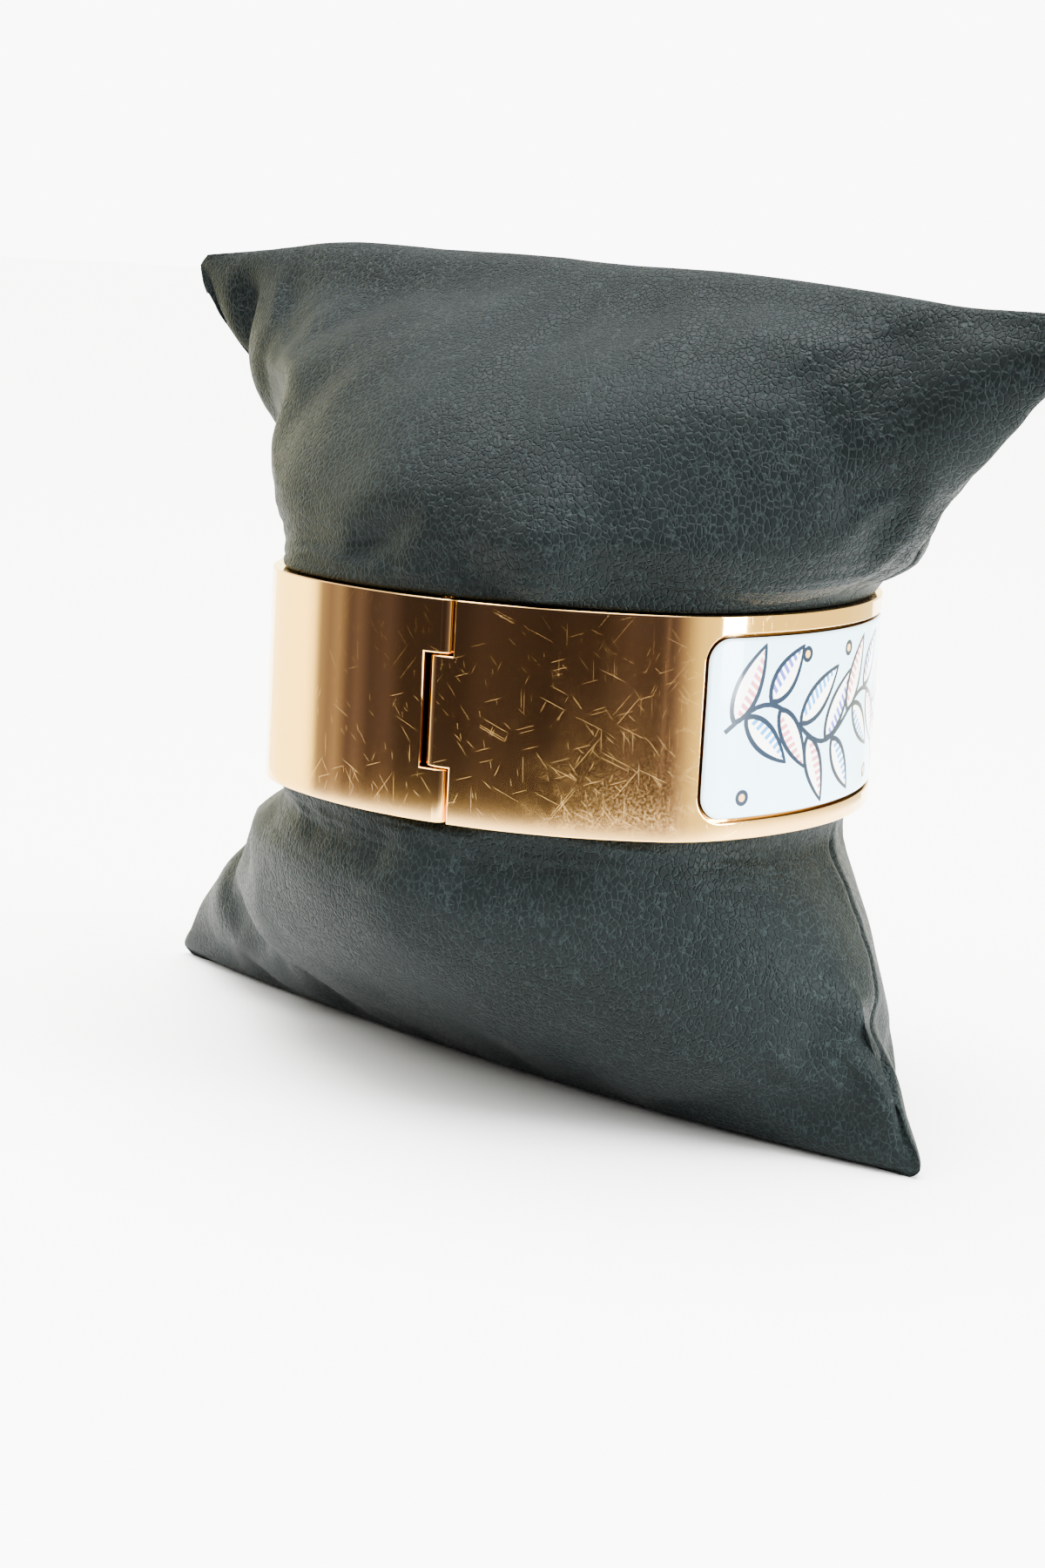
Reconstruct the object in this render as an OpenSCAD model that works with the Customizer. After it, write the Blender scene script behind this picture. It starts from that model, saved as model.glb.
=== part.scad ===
// Hinged bangle, closed around a display cushion.
// Millimetres. +Z up, z = 0 is the table, -Y is the front with the plaque,
// -X is the hinge and +X is the clasp. The band's axis is the Z axis.

/* [Band] */
// Outer size of the closed band from hinge to clasp
band_w = 56; // [52:0.5:62]
// Outer size of the closed band from front to back
band_d = 57; // [53:0.5:62]
// Radius of the four flatter sides of the oval, at the outer face
side_r = 36; // [34:0.5:42]
// Radius of the four corners of the oval, at the outer face
corner_r = 14; // [10:0.5:18]
// Height of the band
band_h = 20; // [18:0.5:24]
// Thickness of the band's wall
wall = 1.9; // [1.7:0.1:2.3]
// Chamfer of the band's upper and lower edges
edge_chamfer = 0.25; // [0.1:0.05:0.4]

/* [Hinge] */
// Height of the front half's middle knuckle
knuckle_h = 10; // [7:0.5:12]
// Outer radius of the knuckles
knuckle_r = 1.25; // [1.1:0.05:1.4]
// Gap between the middle knuckle and the ones above and below it
leaf_gap = 0.12; // [0.08:0.02:0.3]
// Gap between a knuckle's round end and the shoulder that it faces
shoulder_gap = 0.15; // [0.1:0.01:0.3]
// Radius of the hinge pin
pin_r = 0.6; // [0.45:0.05:0.75]
// Running clearance of the pin in the middle knuckle
pin_gap = 0.04; // [0.02:0.01:0.08]
// Clearance of the pin in the outer knuckles, which hold it
pin_seat = 0.01; // [0.01:0.005:0.03]
// Depth of the pin's ends below the band's edges
pin_inset = 0.1; // [0.05:0.05:0.3]

/* [Clasp] */
// Gap between the two halves at the clasp
closing_gap = 0.12; // [0.06:0.02:0.3]
// Height of the clasp tongue
tongue_h = 8; // [5:0.5:10]
// Thickness of the clasp tongue
tongue_t = 0.6; // [0.5:0.05:0.7]
// Length of the tongue inside the back half
tongue_reach = 3; // [2:0.25:4]
// Length of the tongue's root inside the front half
tongue_root = 3; // [2:0.25:4]
// Clearance around the tongue in the back half's slot
tongue_gap = 0.15; // [0.12:0.01:0.2]
// Clearance around the tongue's root in the front half
root_gap = 0.01; // [0.01:0.01:0.03]

/* [Plaque] */
// Length of the plaque along the outer face
plaque_len = 42.4; // [34:0.2:44]
// Height of the plaque
plaque_h = 16.2; // [12:0.2:16.6]
// Thickness of the plaque
plaque_t = 1; // [0.7:0.05:1.1]
// Radius of the plaque's corners
plaque_corner = 2.2; // [1:0.1:3]
// Gap between the plaque and the sides of its recess
plaque_gap = 0.25; // [0.15:0.05:0.4]

/* [Cushion] */
// Width of the cushion along its seams
cushion_w = 104; // [96:1:112]
// Height of the cushion's top above the band's middle, taken between its two corners
cushion_up = 37.7; // [34:0.1:44]
// Depth of the table below the band's middle
cushion_down = 39.4; // [35:0.1:45]
// Depth of the cushion, front to back, next to the band
cushion_d = 56; // [54:0.5:62]
// Rise of the upper seam between its corners
seam_arch = 2.4; // [0:0.1:4]
// Fall of the upper seam from its left corner to its right one
seam_fall = 2.7; // [0:0.1:4]
// Turn of the cushion's width away from the front-to-back line
cushion_turn = 15; // [0:1:30]
// Gap between the cushion and the metal around it
seat_gap = 0.3; // [0.25:0.05:0.5]

/* [Hidden] */
$fn = 96;

gold = "#C8935A";
glaze = "#E3F0F5";
leatherette = "#30383A";

// Overlap of a cutting shape past the face that it cuts through
cut_over = 0.5;
// Angle by which neighbouring stretches run into each other, so that they make one wall
arc_lap = 0.01;
// How far a plate's round corners reach past its edges
round_over = 0.01;
// Points around each section of the cushion
ring_points = 40;

// The oval is eight arcs, tangent to each other. side_at and front_at are where
// the centres of the +X and +Y arcs lie, and corner_at is the +X +Y corner's centre.
side_at = band_w/2 - side_r;
front_at = band_d/2 - side_r;
centre_link = side_r - corner_r;
centre_chord = norm([side_at, front_at]);
corner_rise = sqrt(centre_link^2 - (centre_chord/2)^2);
corner_at = [
    side_at/2 - corner_rise*front_at/centre_chord,
    front_at/2 - corner_rise*side_at/centre_chord
];
// Directions at which a side arc meets a corner arc, and a corner arc the front or back
side_end = atan2(corner_at.y, corner_at.x - side_at);
corner_end = atan2(corner_at.y - front_at, corner_at.x);

// Columns of the table of arcs
CENTRE_X = 0;
CENTRE_Y = 1;
RADIUS = 2;
FROM = 3;
TO = 4;
// Arcs in order of the direction that the outer face looks
arcs = [
    [side_at, 0, side_r, -side_end, side_end],
    [corner_at.x, corner_at.y, corner_r, side_end, corner_end],
    [0, front_at, side_r, corner_end, 180 - corner_end],
    [-corner_at.x, corner_at.y, corner_r, 180 - corner_end, 180 - side_end],
    [-side_at, 0, side_r, 180 - side_end, 180 + side_end],
    [-corner_at.x, -corner_at.y, corner_r, 180 + side_end, 180 + corner_end],
    [0, -front_at, side_r, 180 + corner_end, 360 - corner_end],
    [corner_at.x, -corner_at.y, corner_r, 360 - corner_end, 360 - side_end],
    [side_at, 0, side_r, 360 - side_end, 360 + side_end]
];

// Directions of the hinge, the front and the clasp
hinge_dir = 180;
front_dir = 270;
clasp_dir = 360;

half_h = band_h/2;
half_knuckle = knuckle_h/2;
pin_x = knuckle_r - band_w/2;
shoulder_dir = asin((knuckle_r + shoulder_gap)/(side_r - knuckle_r));
clasp_end_dir = asin(closing_gap/2/side_r);
tongue_x = band_w/2 - wall/2;

// The point of the outer face that looks in one direction, moved in by inset
function arc_towards(dir) = [for (arc = arcs) if (dir >= arc[FROM] && dir <= arc[TO]) arc][0];
function oval_point(dir, inset) =
    let (arc = arc_towards(dir))
    [arc[CENTRE_X], arc[CENTRE_Y]] + (arc[RADIUS] - inset)*[cos(dir), sin(dir)];

// The angle from the front direction to a point at a length along the outer face
front_len = side_r*(90 - corner_end)*PI/180;
function angle_at(len) =
    len <= front_len ? len/side_r*180/PI
    : 90 - corner_end + (len - front_len)/corner_r*180/PI;

// A stretch of wall between two directions, made from a section drawn with
// x = 0 on the outer face and y up
module stretch(from, to) {
    for (arc = arcs) {
        start = max(from, arc[FROM] - arc_lap);
        stop = min(to, arc[TO] + arc_lap);
        if (stop > start)
            translate([arc[CENTRE_X], arc[CENTRE_Y], 0])
                rotate_extrude(start = start, angle = stop - start)
                    translate([arc[RADIUS], 0])
                        children();
    }
}

// The wall's section from low to high, with a chamfer where it ends at an edge of the band
module wall_section(low, high) {
    lower = low <= -half_h ? edge_chamfer : 0;
    upper = high >= half_h ? edge_chamfer : 0;
    polygon(concat(
        lower > 0 ? [[-wall, low + lower], [lower - wall, low], [-lower, low], [0, low + lower]]
            : [[-wall, low], [0, low]],
        upper > 0 ? [[0, high - upper], [-upper, high], [upper - wall, high], [-wall, high - upper]]
            : [[0, high], [-wall, high]]
    ));
}

// One knuckle around the pin, with the same chamfer at an edge of the band
module knuckle(low, high) {
    lower = low <= -half_h ? edge_chamfer : 0;
    upper = high >= half_h ? edge_chamfer : 0;
    translate([pin_x, 0, 0])
        rotate_extrude()
            polygon(concat(
                [[0, low]],
                lower > 0 ? [[knuckle_r - lower, low], [knuckle_r, low + lower]] : [[knuckle_r, low]],
                upper > 0 ? [[knuckle_r, high - upper], [knuckle_r - upper, high]] : [[knuckle_r, high]],
                [[0, high]]
            ));
}

module pin_bore(clearance) {
    translate([pin_x, 0, -half_h - cut_over])
        cylinder(r = pin_r + clearance, h = band_h + 2*cut_over);
}

// The tongue across the clasp's gap, grown by a clearance on each side
module tongue_block(root, reach, clearance) {
    translate([
        tongue_x - tongue_t/2 - clearance,
        -closing_gap/2 - root - clearance,
        -tongue_h/2 - clearance
    ])
        cube([
            tongue_t + 2*clearance,
            root + closing_gap + reach + 2*clearance,
            tongue_h + 2*clearance
        ]);
}

// A plate with round corners that follows the front of the oval, from depth
// below the outer face to proud above it, grown by a gap on every side
module front_plate(depth, proud, gap) {
    round_r = plaque_corner + gap;
    high = plaque_h/2 + gap;
    end_turn = angle_at(plaque_len/2 + gap);
    round_turn = angle_at(plaque_len/2 + gap - round_r);
    difference() {
        stretch(front_dir - end_turn, front_dir + end_turn)
            translate([-depth, -high])
                square([depth + proud, 2*high]);
        for (side = [-1, 1], level = [-1, 1])
            translate(oval_point(front_dir + side*round_turn, 0))
                rotate([0, 0, front_dir + side*round_turn])
                    translate([-depth - cut_over, 0, level*(high - round_r)])
                        rotate([90, 0, 90])
                            linear_extrude(depth + proud + 2*cut_over)
                                corner_waste(side, level, round_r);
    }
}

// What a round corner takes off a square one, seen from outside. The round reaches a
// hair past the edges, so that it crosses them and doesn't only touch them.
module corner_waste(side, level, round_r) {
    difference() {
        scale([side, level])
            square(round_r + cut_over);
        circle(r = round_r + round_over);
    }
}

module back_band() {
    color(gold)
        translate([0, 0, cushion_down])
            difference() {
                union() {
                    stretch(clasp_end_dir, hinge_dir - shoulder_dir)
                        wall_section(-half_h, half_h);
                    stretch(hinge_dir - shoulder_dir - arc_lap, hinge_dir) {
                        wall_section(half_knuckle + leaf_gap, half_h);
                        wall_section(-half_h, -half_knuckle - leaf_gap);
                    }
                    knuckle(half_knuckle + leaf_gap, half_h);
                    knuckle(-half_h, -half_knuckle - leaf_gap);
                }
                pin_bore(pin_seat);
                tongue_block(0, tongue_reach, tongue_gap);
            }
}

module front_band() {
    color(gold)
        translate([0, 0, cushion_down])
            difference() {
                union() {
                    stretch(hinge_dir + shoulder_dir, clasp_dir - clasp_end_dir)
                        wall_section(-half_h, half_h);
                    stretch(hinge_dir, hinge_dir + shoulder_dir + arc_lap)
                        wall_section(-half_knuckle, half_knuckle);
                    knuckle(-half_knuckle, half_knuckle);
                }
                pin_bore(pin_gap);
                tongue_block(tongue_root, 0, root_gap);
                front_plate(plaque_t, cut_over, plaque_gap);
            }
}

module plaque() {
    color(glaze)
        translate([0, 0, cushion_down])
            front_plate(plaque_t, 0, 0);
}

module hinge_pin() {
    color(gold)
        translate([pin_x, 0, cushion_down - half_h + pin_inset])
            cylinder(r = pin_r, h = band_h - 2*pin_inset);
}

module clasp_tongue() {
    color(gold)
        translate([0, 0, cushion_down])
            tongue_block(tongue_root, tongue_reach, 0);
}

// The cushion's sections. Each row is a level between the band's edge (0) and the
// cushion's top or bottom (1), the reaches to the left and right as shares of half
// the width, the reaches to the front and back as shares of half the depth, the
// sharpness of the sides, and how much of the band's own oval the section keeps.
LEVEL = 0;
LEFT = 1;
RIGHT = 2;
FRONT = 3;
BACK = 4;
SHARP = 5;
HELD = 6;
upper_rows = [
    [0.00, 0.50, 0.50, 0.90, 0.90, 1.00, 1.0],
    [0.07, 0.55, 0.57, 0.98, 0.95, 1.05, 0.4],
    [0.20, 0.62, 0.67, 1.00, 0.95, 1.15, 0.0],
    [0.34, 0.73, 0.75, 0.92, 0.87, 1.30, 0.0],
    [0.52, 0.86, 0.84, 0.73, 0.70, 1.50, 0.0],
    [0.70, 0.98, 0.92, 0.50, 0.47, 1.70, 0.0],
    [0.86, 1.06, 1.00, 0.26, 0.25, 1.80, 0.0],
    [0.96, 1.09, 1.03, 0.10, 0.10, 1.80, 0.0],
    [1.00, 1.07, 1.02, 0.03, 0.03, 1.80, 0.0]
];
lower_rows = [
    [0.00, 0.50, 0.50, 0.90, 0.90, 1.00, 1.0],
    [0.09, 0.58, 0.53, 0.97, 0.97, 1.05, 0.4],
    [0.23, 0.69, 0.58, 0.98, 0.98, 1.15, 0.0],
    [0.40, 0.78, 0.65, 0.91, 0.96, 1.25, 0.0],
    [0.57, 0.90, 0.71, 0.77, 0.93, 1.40, 0.0],
    [0.75, 1.00, 0.78, 0.55, 0.86, 1.50, 0.0],
    [0.88, 1.05, 0.82, 0.34, 0.75, 1.60, 0.0],
    [0.965, 1.08, 0.84, 0.21, 0.64, 1.60, 0.0],
    [1.00, 1.06, 0.83, 0.14, 0.55, 1.60, 0.0]
];

cushion_dir = -90 - cushion_turn;
held_inset = max(wall, 2*knuckle_r) + seat_gap;
held_z = half_h + seat_gap;

function signed_power(value, power) = sign(value)*abs(value)^power;
function turned(point, dir) =
    [point.x*cos(dir) - point.y*sin(dir), point.x*sin(dir) + point.y*cos(dir)];
function full_turn(dir) = dir < 0 ? dir + 360 : dir;
function free_point(row, dir) = [
    (cos(dir) >= 0 ? row[RIGHT] : row[LEFT])*cushion_w/2*cos(dir),
    (sin(dir) >= 0 ? row[BACK] : row[FRONT])*cushion_d/2*signed_power(sin(dir), row[SHARP])
];
function held_point(dir) = turned(oval_point(full_turn(dir + cushion_dir), held_inset), -cushion_dir);
function seam_rise(row, point) =
    let (across = 2*point.x/cushion_w)
    row[LEVEL]^3*(seam_arch*(1 - across^2) - seam_fall/2*across);
function ring(row, height, arched) = [
    for (i = [0 : ring_points - 1])
        let (dir = 360*i/ring_points)
        let (point = row[HELD]*held_point(dir) + (1 - row[HELD])*free_point(row, dir))
        [point.x, point.y, height + (arched ? seam_rise(row, point) : 0)]
];

module display_cushion() {
    rings = concat(
        [for (i = [len(lower_rows) - 1 : -1 : 0])
            ring(lower_rows[i], -held_z - lower_rows[i][LEVEL]*(cushion_down - held_z), false)],
        [for (row = upper_rows)
            ring(row, held_z + row[LEVEL]*(cushion_up - held_z), true)]
    );
    last = len(rings) - 1;
    sides = [
        for (level = [0 : last - 1], i = [0 : ring_points - 1])
            let (next = (i + 1)%ring_points)
            let (low = level*ring_points, high = (level + 1)*ring_points)
            each [[low + i, high + i, low + next], [low + next, high + i, high + next]]
    ];
    base = [[for (i = [0 : ring_points - 1]) i]];
    top = [
        for (i = [1 : ring_points/2 - 1])
            let (front = last*ring_points + ring_points - i, back = last*ring_points + i)
            each i == 1
                ? [[last*ring_points, front, back]]
                : [[back - 1, front + 1, back], [front + 1, front, back]],
        [last*ring_points + ring_points/2 - 1,
            last*ring_points + ring_points/2 + 1,
            last*ring_points + ring_points/2]
    ];
    color(leatherette)
        translate([0, 0, cushion_down])
            rotate([0, 0, cushion_dir])
                polyhedron(concat([for (ring = rings) each ring]), concat(sides, base, top));
}

back_band();
front_band();
plaque();
hinge_pin();
clasp_tongue();
display_cushion();
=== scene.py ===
import math

import bmesh
import bpy
from mathutils import Matrix, Vector, geometry, kdtree, noise


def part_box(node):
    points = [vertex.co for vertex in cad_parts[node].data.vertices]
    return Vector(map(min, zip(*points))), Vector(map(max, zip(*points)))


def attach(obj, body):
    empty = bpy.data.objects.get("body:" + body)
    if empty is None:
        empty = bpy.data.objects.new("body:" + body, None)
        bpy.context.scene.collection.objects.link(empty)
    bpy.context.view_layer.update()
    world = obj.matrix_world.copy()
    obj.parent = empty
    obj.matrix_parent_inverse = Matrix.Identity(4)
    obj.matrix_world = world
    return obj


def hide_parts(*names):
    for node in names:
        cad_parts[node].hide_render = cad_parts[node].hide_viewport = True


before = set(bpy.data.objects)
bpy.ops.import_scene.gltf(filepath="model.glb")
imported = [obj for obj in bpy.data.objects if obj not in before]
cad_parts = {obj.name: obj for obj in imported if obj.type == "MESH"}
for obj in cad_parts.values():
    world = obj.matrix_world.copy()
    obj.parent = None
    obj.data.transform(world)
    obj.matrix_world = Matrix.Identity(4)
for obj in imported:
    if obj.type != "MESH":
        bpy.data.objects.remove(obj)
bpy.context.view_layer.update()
print("frame loaded:", ", ".join(sorted(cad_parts)))

mm = 0.001
near = 1e-4   # millimetres: places closer than this are the same place


# Small helpers

def linearColour(hexColour):
    # sRGB hex to the linear values that the shader works in
    channels = [int(hexColour[i:i + 2], 16) / 255 for i in (1, 3, 5)]
    return [c / 12.92 if c <= 0.04045 else ((c + 0.055) / 1.055) ** 2.4 for c in channels] + [1.0]


def grey(level):
    return (level, level, level, 1.0)


def smoothStep(low, high, value):
    share = min(1.0, max(0.0, (value - low) / (high - low)))
    return share * share * (3 - 2 * share)


def bell(distance, width):
    return math.exp(-(distance / width) ** 2)


def addNode(tree, kind, settings={}, inputs={}):
    # An input is either a value or another node's output. A Mix node's two sides go by
    # number: 2 and 3 for plain values, 6 and 7 for colours.
    node = tree.nodes.new("ShaderNode" + kind)
    for name, value in settings.items():
        setattr(node, name, value)
    for name, value in inputs.items():
        if isinstance(value, bpy.types.NodeSocket):
            tree.links.new(value, node.inputs[name])
        else:
            node.inputs[name].default_value = value
    return node


def newMaterial(name):
    material = bpy.data.materials.new(name)
    material.use_nodes = True
    material.node_tree.nodes.clear()
    return material, material.node_tree


def objectFrom(bm, name, materials):
    mesh = bpy.data.meshes.new(name)
    bm.to_mesh(mesh)
    bm.free()
    piece = bpy.data.objects.new(name, mesh)
    bpy.context.scene.collection.objects.link(piece)
    for material in materials:
        mesh.materials.append(material)
    return piece


# The band's oval: eight arcs, tangent to each other, at the outer face

backLow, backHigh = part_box("back_band")
frontLow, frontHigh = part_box("front_band")

oval = {
    "width": (backHigh.x - backLow.x) / mm,
    "depth": (backHigh.y - frontLow.y) / mm,
    "sideRadius": 36.0,
    "cornerRadius": 14.0,
    "middleHeight": (backHigh.z + backLow.z) / 2 / mm,
}


def ovalArcs():
    # Each arc: centre, radius, the directions it runs between, and its length so far,
    # counted from the middle of the front towards the clasp
    sideAt = oval["width"] / 2 - oval["sideRadius"]
    frontAt = oval["depth"] / 2 - oval["sideRadius"]
    chord = math.hypot(sideAt, frontAt)
    rise = math.sqrt((oval["sideRadius"] - oval["cornerRadius"]) ** 2 - (chord / 2) ** 2)
    cornerX = sideAt / 2 - rise * frontAt / chord
    cornerY = frontAt / 2 - rise * sideAt / chord
    sideEnd = math.degrees(math.atan2(cornerY, cornerX - sideAt))
    cornerEnd = math.degrees(math.atan2(cornerY - frontAt, cornerX))
    side, corner = oval["sideRadius"], oval["cornerRadius"]
    runs = [
        (0, -frontAt, side, -90, -cornerEnd),
        (cornerX, -cornerY, corner, -cornerEnd, -sideEnd),
        (sideAt, 0, side, -sideEnd, sideEnd),
        (cornerX, cornerY, corner, sideEnd, cornerEnd),
        (0, frontAt, side, cornerEnd, 180 - cornerEnd),
        (-cornerX, cornerY, corner, 180 - cornerEnd, 180 - sideEnd),
        (-sideAt, 0, side, 180 - sideEnd, 180 + sideEnd),
        (-cornerX, -cornerY, corner, 180 + sideEnd, 180 + cornerEnd),
        (0, -frontAt, side, 180 + cornerEnd, 270),
    ]
    arcs = []
    length = 0.0
    for x, y, radius, start, stop in runs:
        arcs.append({"centre": Vector((x, y, 0)), "radius": radius,
                     "start": start, "stop": stop, "from": length})
        length += radius * math.radians(stop - start)
    return arcs, length


arcs, roundLength = ovalArcs()
hingeLine = -roundLength / 4   # the hinge's place along the outer face, from the front's middle
claspLine = roundLength / 4


def outward(direction):
    return Vector((math.cos(math.radians(direction)), math.sin(math.radians(direction)), 0))


def ovalTowards(direction, inset):
    # The point whose outer face looks in that direction, moved in by inset
    direction = (direction + 90) % 360 - 90
    arc = next(a for a in arcs if direction <= a["stop"])
    return arc["centre"] + outward(direction) * (arc["radius"] - inset)


def directionAt(length):
    length %= roundLength
    arc = [a for a in arcs if length >= a["from"]][-1]
    return arc["start"] + math.degrees((length - arc["from"]) / arc["radius"])


def wrapOnBand(bm):
    # x is a length along the outer face, y a depth below it and z a height from the
    # band's middle. They become a place on the oval, in metres, and the shading
    # normals turn with them.
    shade = bm.loops.layers.float_vector["shade"]
    for vert in bm.verts:
        direction = directionAt(vert.co.x)
        out = outward(direction)
        along = Vector((-out.y, out.x, 0))
        for loop in vert.link_loops:
            flat = loop[shade]
            loop[shade] = along * flat.x - out * flat.y + Vector((0, 0, flat.z))
        place = ovalTowards(direction, vert.co.y)
        place.z = oval["middleHeight"] + vert.co.z
        vert.co = place * mm


shadeWeights = {"wide": 1000, "side": 30, "rounded": 1}


def shadeEvenly(bm, main):
    # Flat faces keep their own normal right up to their edges, and a rounded edge turns
    # evenly from one to the other. Main is the axis that the widest faces look along.
    shade = bm.loops.layers.float_vector["shade"]
    bm.normal_update()
    weights = {}
    for face in bm.faces:
        if face.loops[0][shade].length == 0:
            facing = abs(face.normal[main])
            kind = "wide" if facing > 0.9999 else "side" if facing < 1e-4 else "rounded"
            weights[face] = shadeWeights[kind]
    for face in weights:
        for loop in face.loops:
            total = Vector()
            for other in loop.vert.link_faces:
                if other in weights and other.normal.dot(face.normal) > 0.5:
                    total += other.normal * weights[other]
            loop[shade] = total.normalized()


def setNormals(piece):
    mesh = piece.data
    normals = [item.vector.copy() for item in mesh.attributes["shade"].data]
    mesh.normals_split_custom_set(normals)
    mesh.attributes.remove(mesh.attributes["shade"])


# Gold

gold = {
    "colour": "#F4C783",
    "wornColour": "#EBBE80",
    "roughness": 0.065,
    "wornRoughness": 0.16,
    "scratchRoughness": 0.21,
    "scratchDepth": 0.003,
    # Angle in degrees, length and width in millimetres of the cell that may hold a scratch,
    # and the share of the cells that do
    "scratches": [
        (24, 3.6, 0.024, 0.0045),
        (52, 2.4, 0.027, 0.0045),
        (88, 3.0, 0.024, 0.0040),
        (127, 5.2, 0.024, 0.0040),
        (161, 2.2, 0.027, 0.0045),
        (41, 1.2, 0.027, 0.0040),
        (79, 0.9, 0.027, 0.0035),
        (113, 1.4, 0.027, 0.0040),
    ],
    "needle": (0.42, 0.22),       # where a scratch begins and is full, from its cell's middle
    "wornPlace": (-27.5, -1.5),   # length along the face and height of the most worn patch
    "wornSize": (8.0, 8.5),
    "wornFade": (1.5, 0.4),       # where the patch begins and is full, as shares of its size
    "scratchShare": (0.6, 1.3),   # how many scratches there are outside the patch and in it
    "patchGrain": 2.857,          # size of the lobes of the patch's uneven edge
    "hazeGrain": 0.25,            # the real haze is finer than the render shows
    "rubGrain": 1.111,            # spots rubbed on the pin and the tongue
}


def scratchLines(tree, place, angle, length, width, share):
    # One thin needle in some of the cells of a stretched cell pattern
    turned = addNode(tree, "Mapping", inputs={
        "Vector": place,
        "Rotation": (0, 0, math.radians(angle)),
    })
    stretched = addNode(tree, "VectorMath", {"operation": "MULTIPLY"}, {
        0: turned.outputs[0],
        1: (1 / length, 1 / width, 0),
    })
    cells = addNode(tree, "TexVoronoi", {"voronoi_dimensions": "2D"}, {
        "Vector": stretched.outputs[0],
        "Scale": 1.0,
    })
    chosen = addNode(tree, "SeparateColor", inputs={"Color": cells.outputs["Color"]})
    limit = addNode(tree, "Math", {"operation": "SUBTRACT"}, {0: 1.0, 1: share})
    kept = addNode(tree, "Math", {"operation": "GREATER_THAN"}, {
        0: chosen.outputs[0],
        1: limit.outputs[0],
    })
    needle = addNode(tree, "MapRange", inputs={
        "Value": cells.outputs["Distance"],
        "From Min": gold["needle"][0],
        "From Max": gold["needle"][1],
    })
    line = addNode(tree, "Math", {"operation": "MULTIPLY"}, {
        0: kept.outputs[0],
        1: needle.outputs[0],
    })
    return line.outputs[0]


def goldMaterial():
    # Polished gold-plated brass: a warm mirror, dulled by hairline scratches from wear
    material, tree = newMaterial("polished_gold_plate")
    place = addNode(tree, "UVMap", {"uv_map": "flat"}).outputs[0]
    offset = addNode(tree, "VectorMath", {"operation": "SUBTRACT"}, {
        0: place,
        1: (*gold["wornPlace"], 0),
    })
    scaled = addNode(tree, "VectorMath", {"operation": "DIVIDE"}, {
        0: offset.outputs[0],
        1: (*gold["wornSize"], 1),
    })
    away = addNode(tree, "VectorMath", {"operation": "LENGTH"}, {0: scaled.outputs[0]})
    cloud = addNode(tree, "TexNoise", {"noise_dimensions": "2D"}, {
        "Vector": place,
        "Scale": 1 / gold["patchGrain"],
        "Detail": 4.0,
        "Roughness": 0.6,
    })
    wobble = addNode(tree, "MapRange", inputs={
        "Value": cloud.outputs[0],
        "From Min": 0.3,
        "From Max": 0.7,
        "To Min": -0.5,
        "To Max": 0.5,
    })
    edge = addNode(tree, "Math", {"operation": "ADD"}, {
        0: away.outputs["Value"],
        1: wobble.outputs[0],
    })
    worn = addNode(tree, "MapRange", {"interpolation_type": "SMOOTHSTEP"}, {
        "Value": edge.outputs[0],
        "From Min": gold["wornFade"][0],
        "From Max": gold["wornFade"][1],
    }).outputs[0]
    share = addNode(tree, "MapRange", inputs={
        "Value": worn,
        "To Min": gold["scratchShare"][0],
        "To Max": gold["scratchShare"][1],
    })
    lines = None
    for angle, length, width, density in gold["scratches"]:
        some = addNode(tree, "Math", {"operation": "MULTIPLY"}, {0: share.outputs[0], 1: density})
        line = scratchLines(tree, place, angle, length, width, some.outputs[0])
        if lines is None:
            lines = line
        else:
            lines = addNode(tree, "Math", {"operation": "MAXIMUM"}, {0: lines, 1: line}).outputs[0]
    # Haze from the finest scratches, which can't be told apart
    haze = addNode(tree, "TexNoise", {"noise_dimensions": "2D"}, {
        "Vector": place,
        "Scale": 1 / gold["hazeGrain"],
        "Detail": 5.0,
        "Roughness": 0.7,
    })
    hazy = addNode(tree, "MapRange", inputs={
        "Value": haze.outputs[0],
        "From Min": 0.35,
        "From Max": 0.75,
    })
    wornHaze = addNode(tree, "Math", {"operation": "MULTIPLY"}, {0: worn, 1: hazy.outputs[0]})
    plain = addNode(tree, "MapRange", inputs={
        "Value": wornHaze.outputs[0],
        "To Min": gold["roughness"],
        "To Max": gold["wornRoughness"],
    })
    rough = addNode(tree, "Mix", {"data_type": "FLOAT"}, {
        "Factor": lines,
        2: plain.outputs[0],
        3: gold["scratchRoughness"],
    })
    colour = addNode(tree, "Mix", {"data_type": "RGBA"}, {
        "Factor": wornHaze.outputs[0],
        6: linearColour(gold["colour"]),
        7: linearColour(gold["wornColour"]),
    })
    relief = addNode(tree, "Bump", {"invert": True}, {
        "Height": lines,
        "Strength": 0.35,
        "Distance": gold["scratchDepth"] * mm,
    })
    metal = addNode(tree, "BsdfPrincipled", inputs={
        "Base Color": colour.outputs[2],
        "Metallic": 1.0,
        "Roughness": rough.outputs[0],
        "Normal": relief.outputs[0],
    })
    addNode(tree, "OutputMaterial", inputs={"Surface": metal.outputs[0]})
    return material


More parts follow.
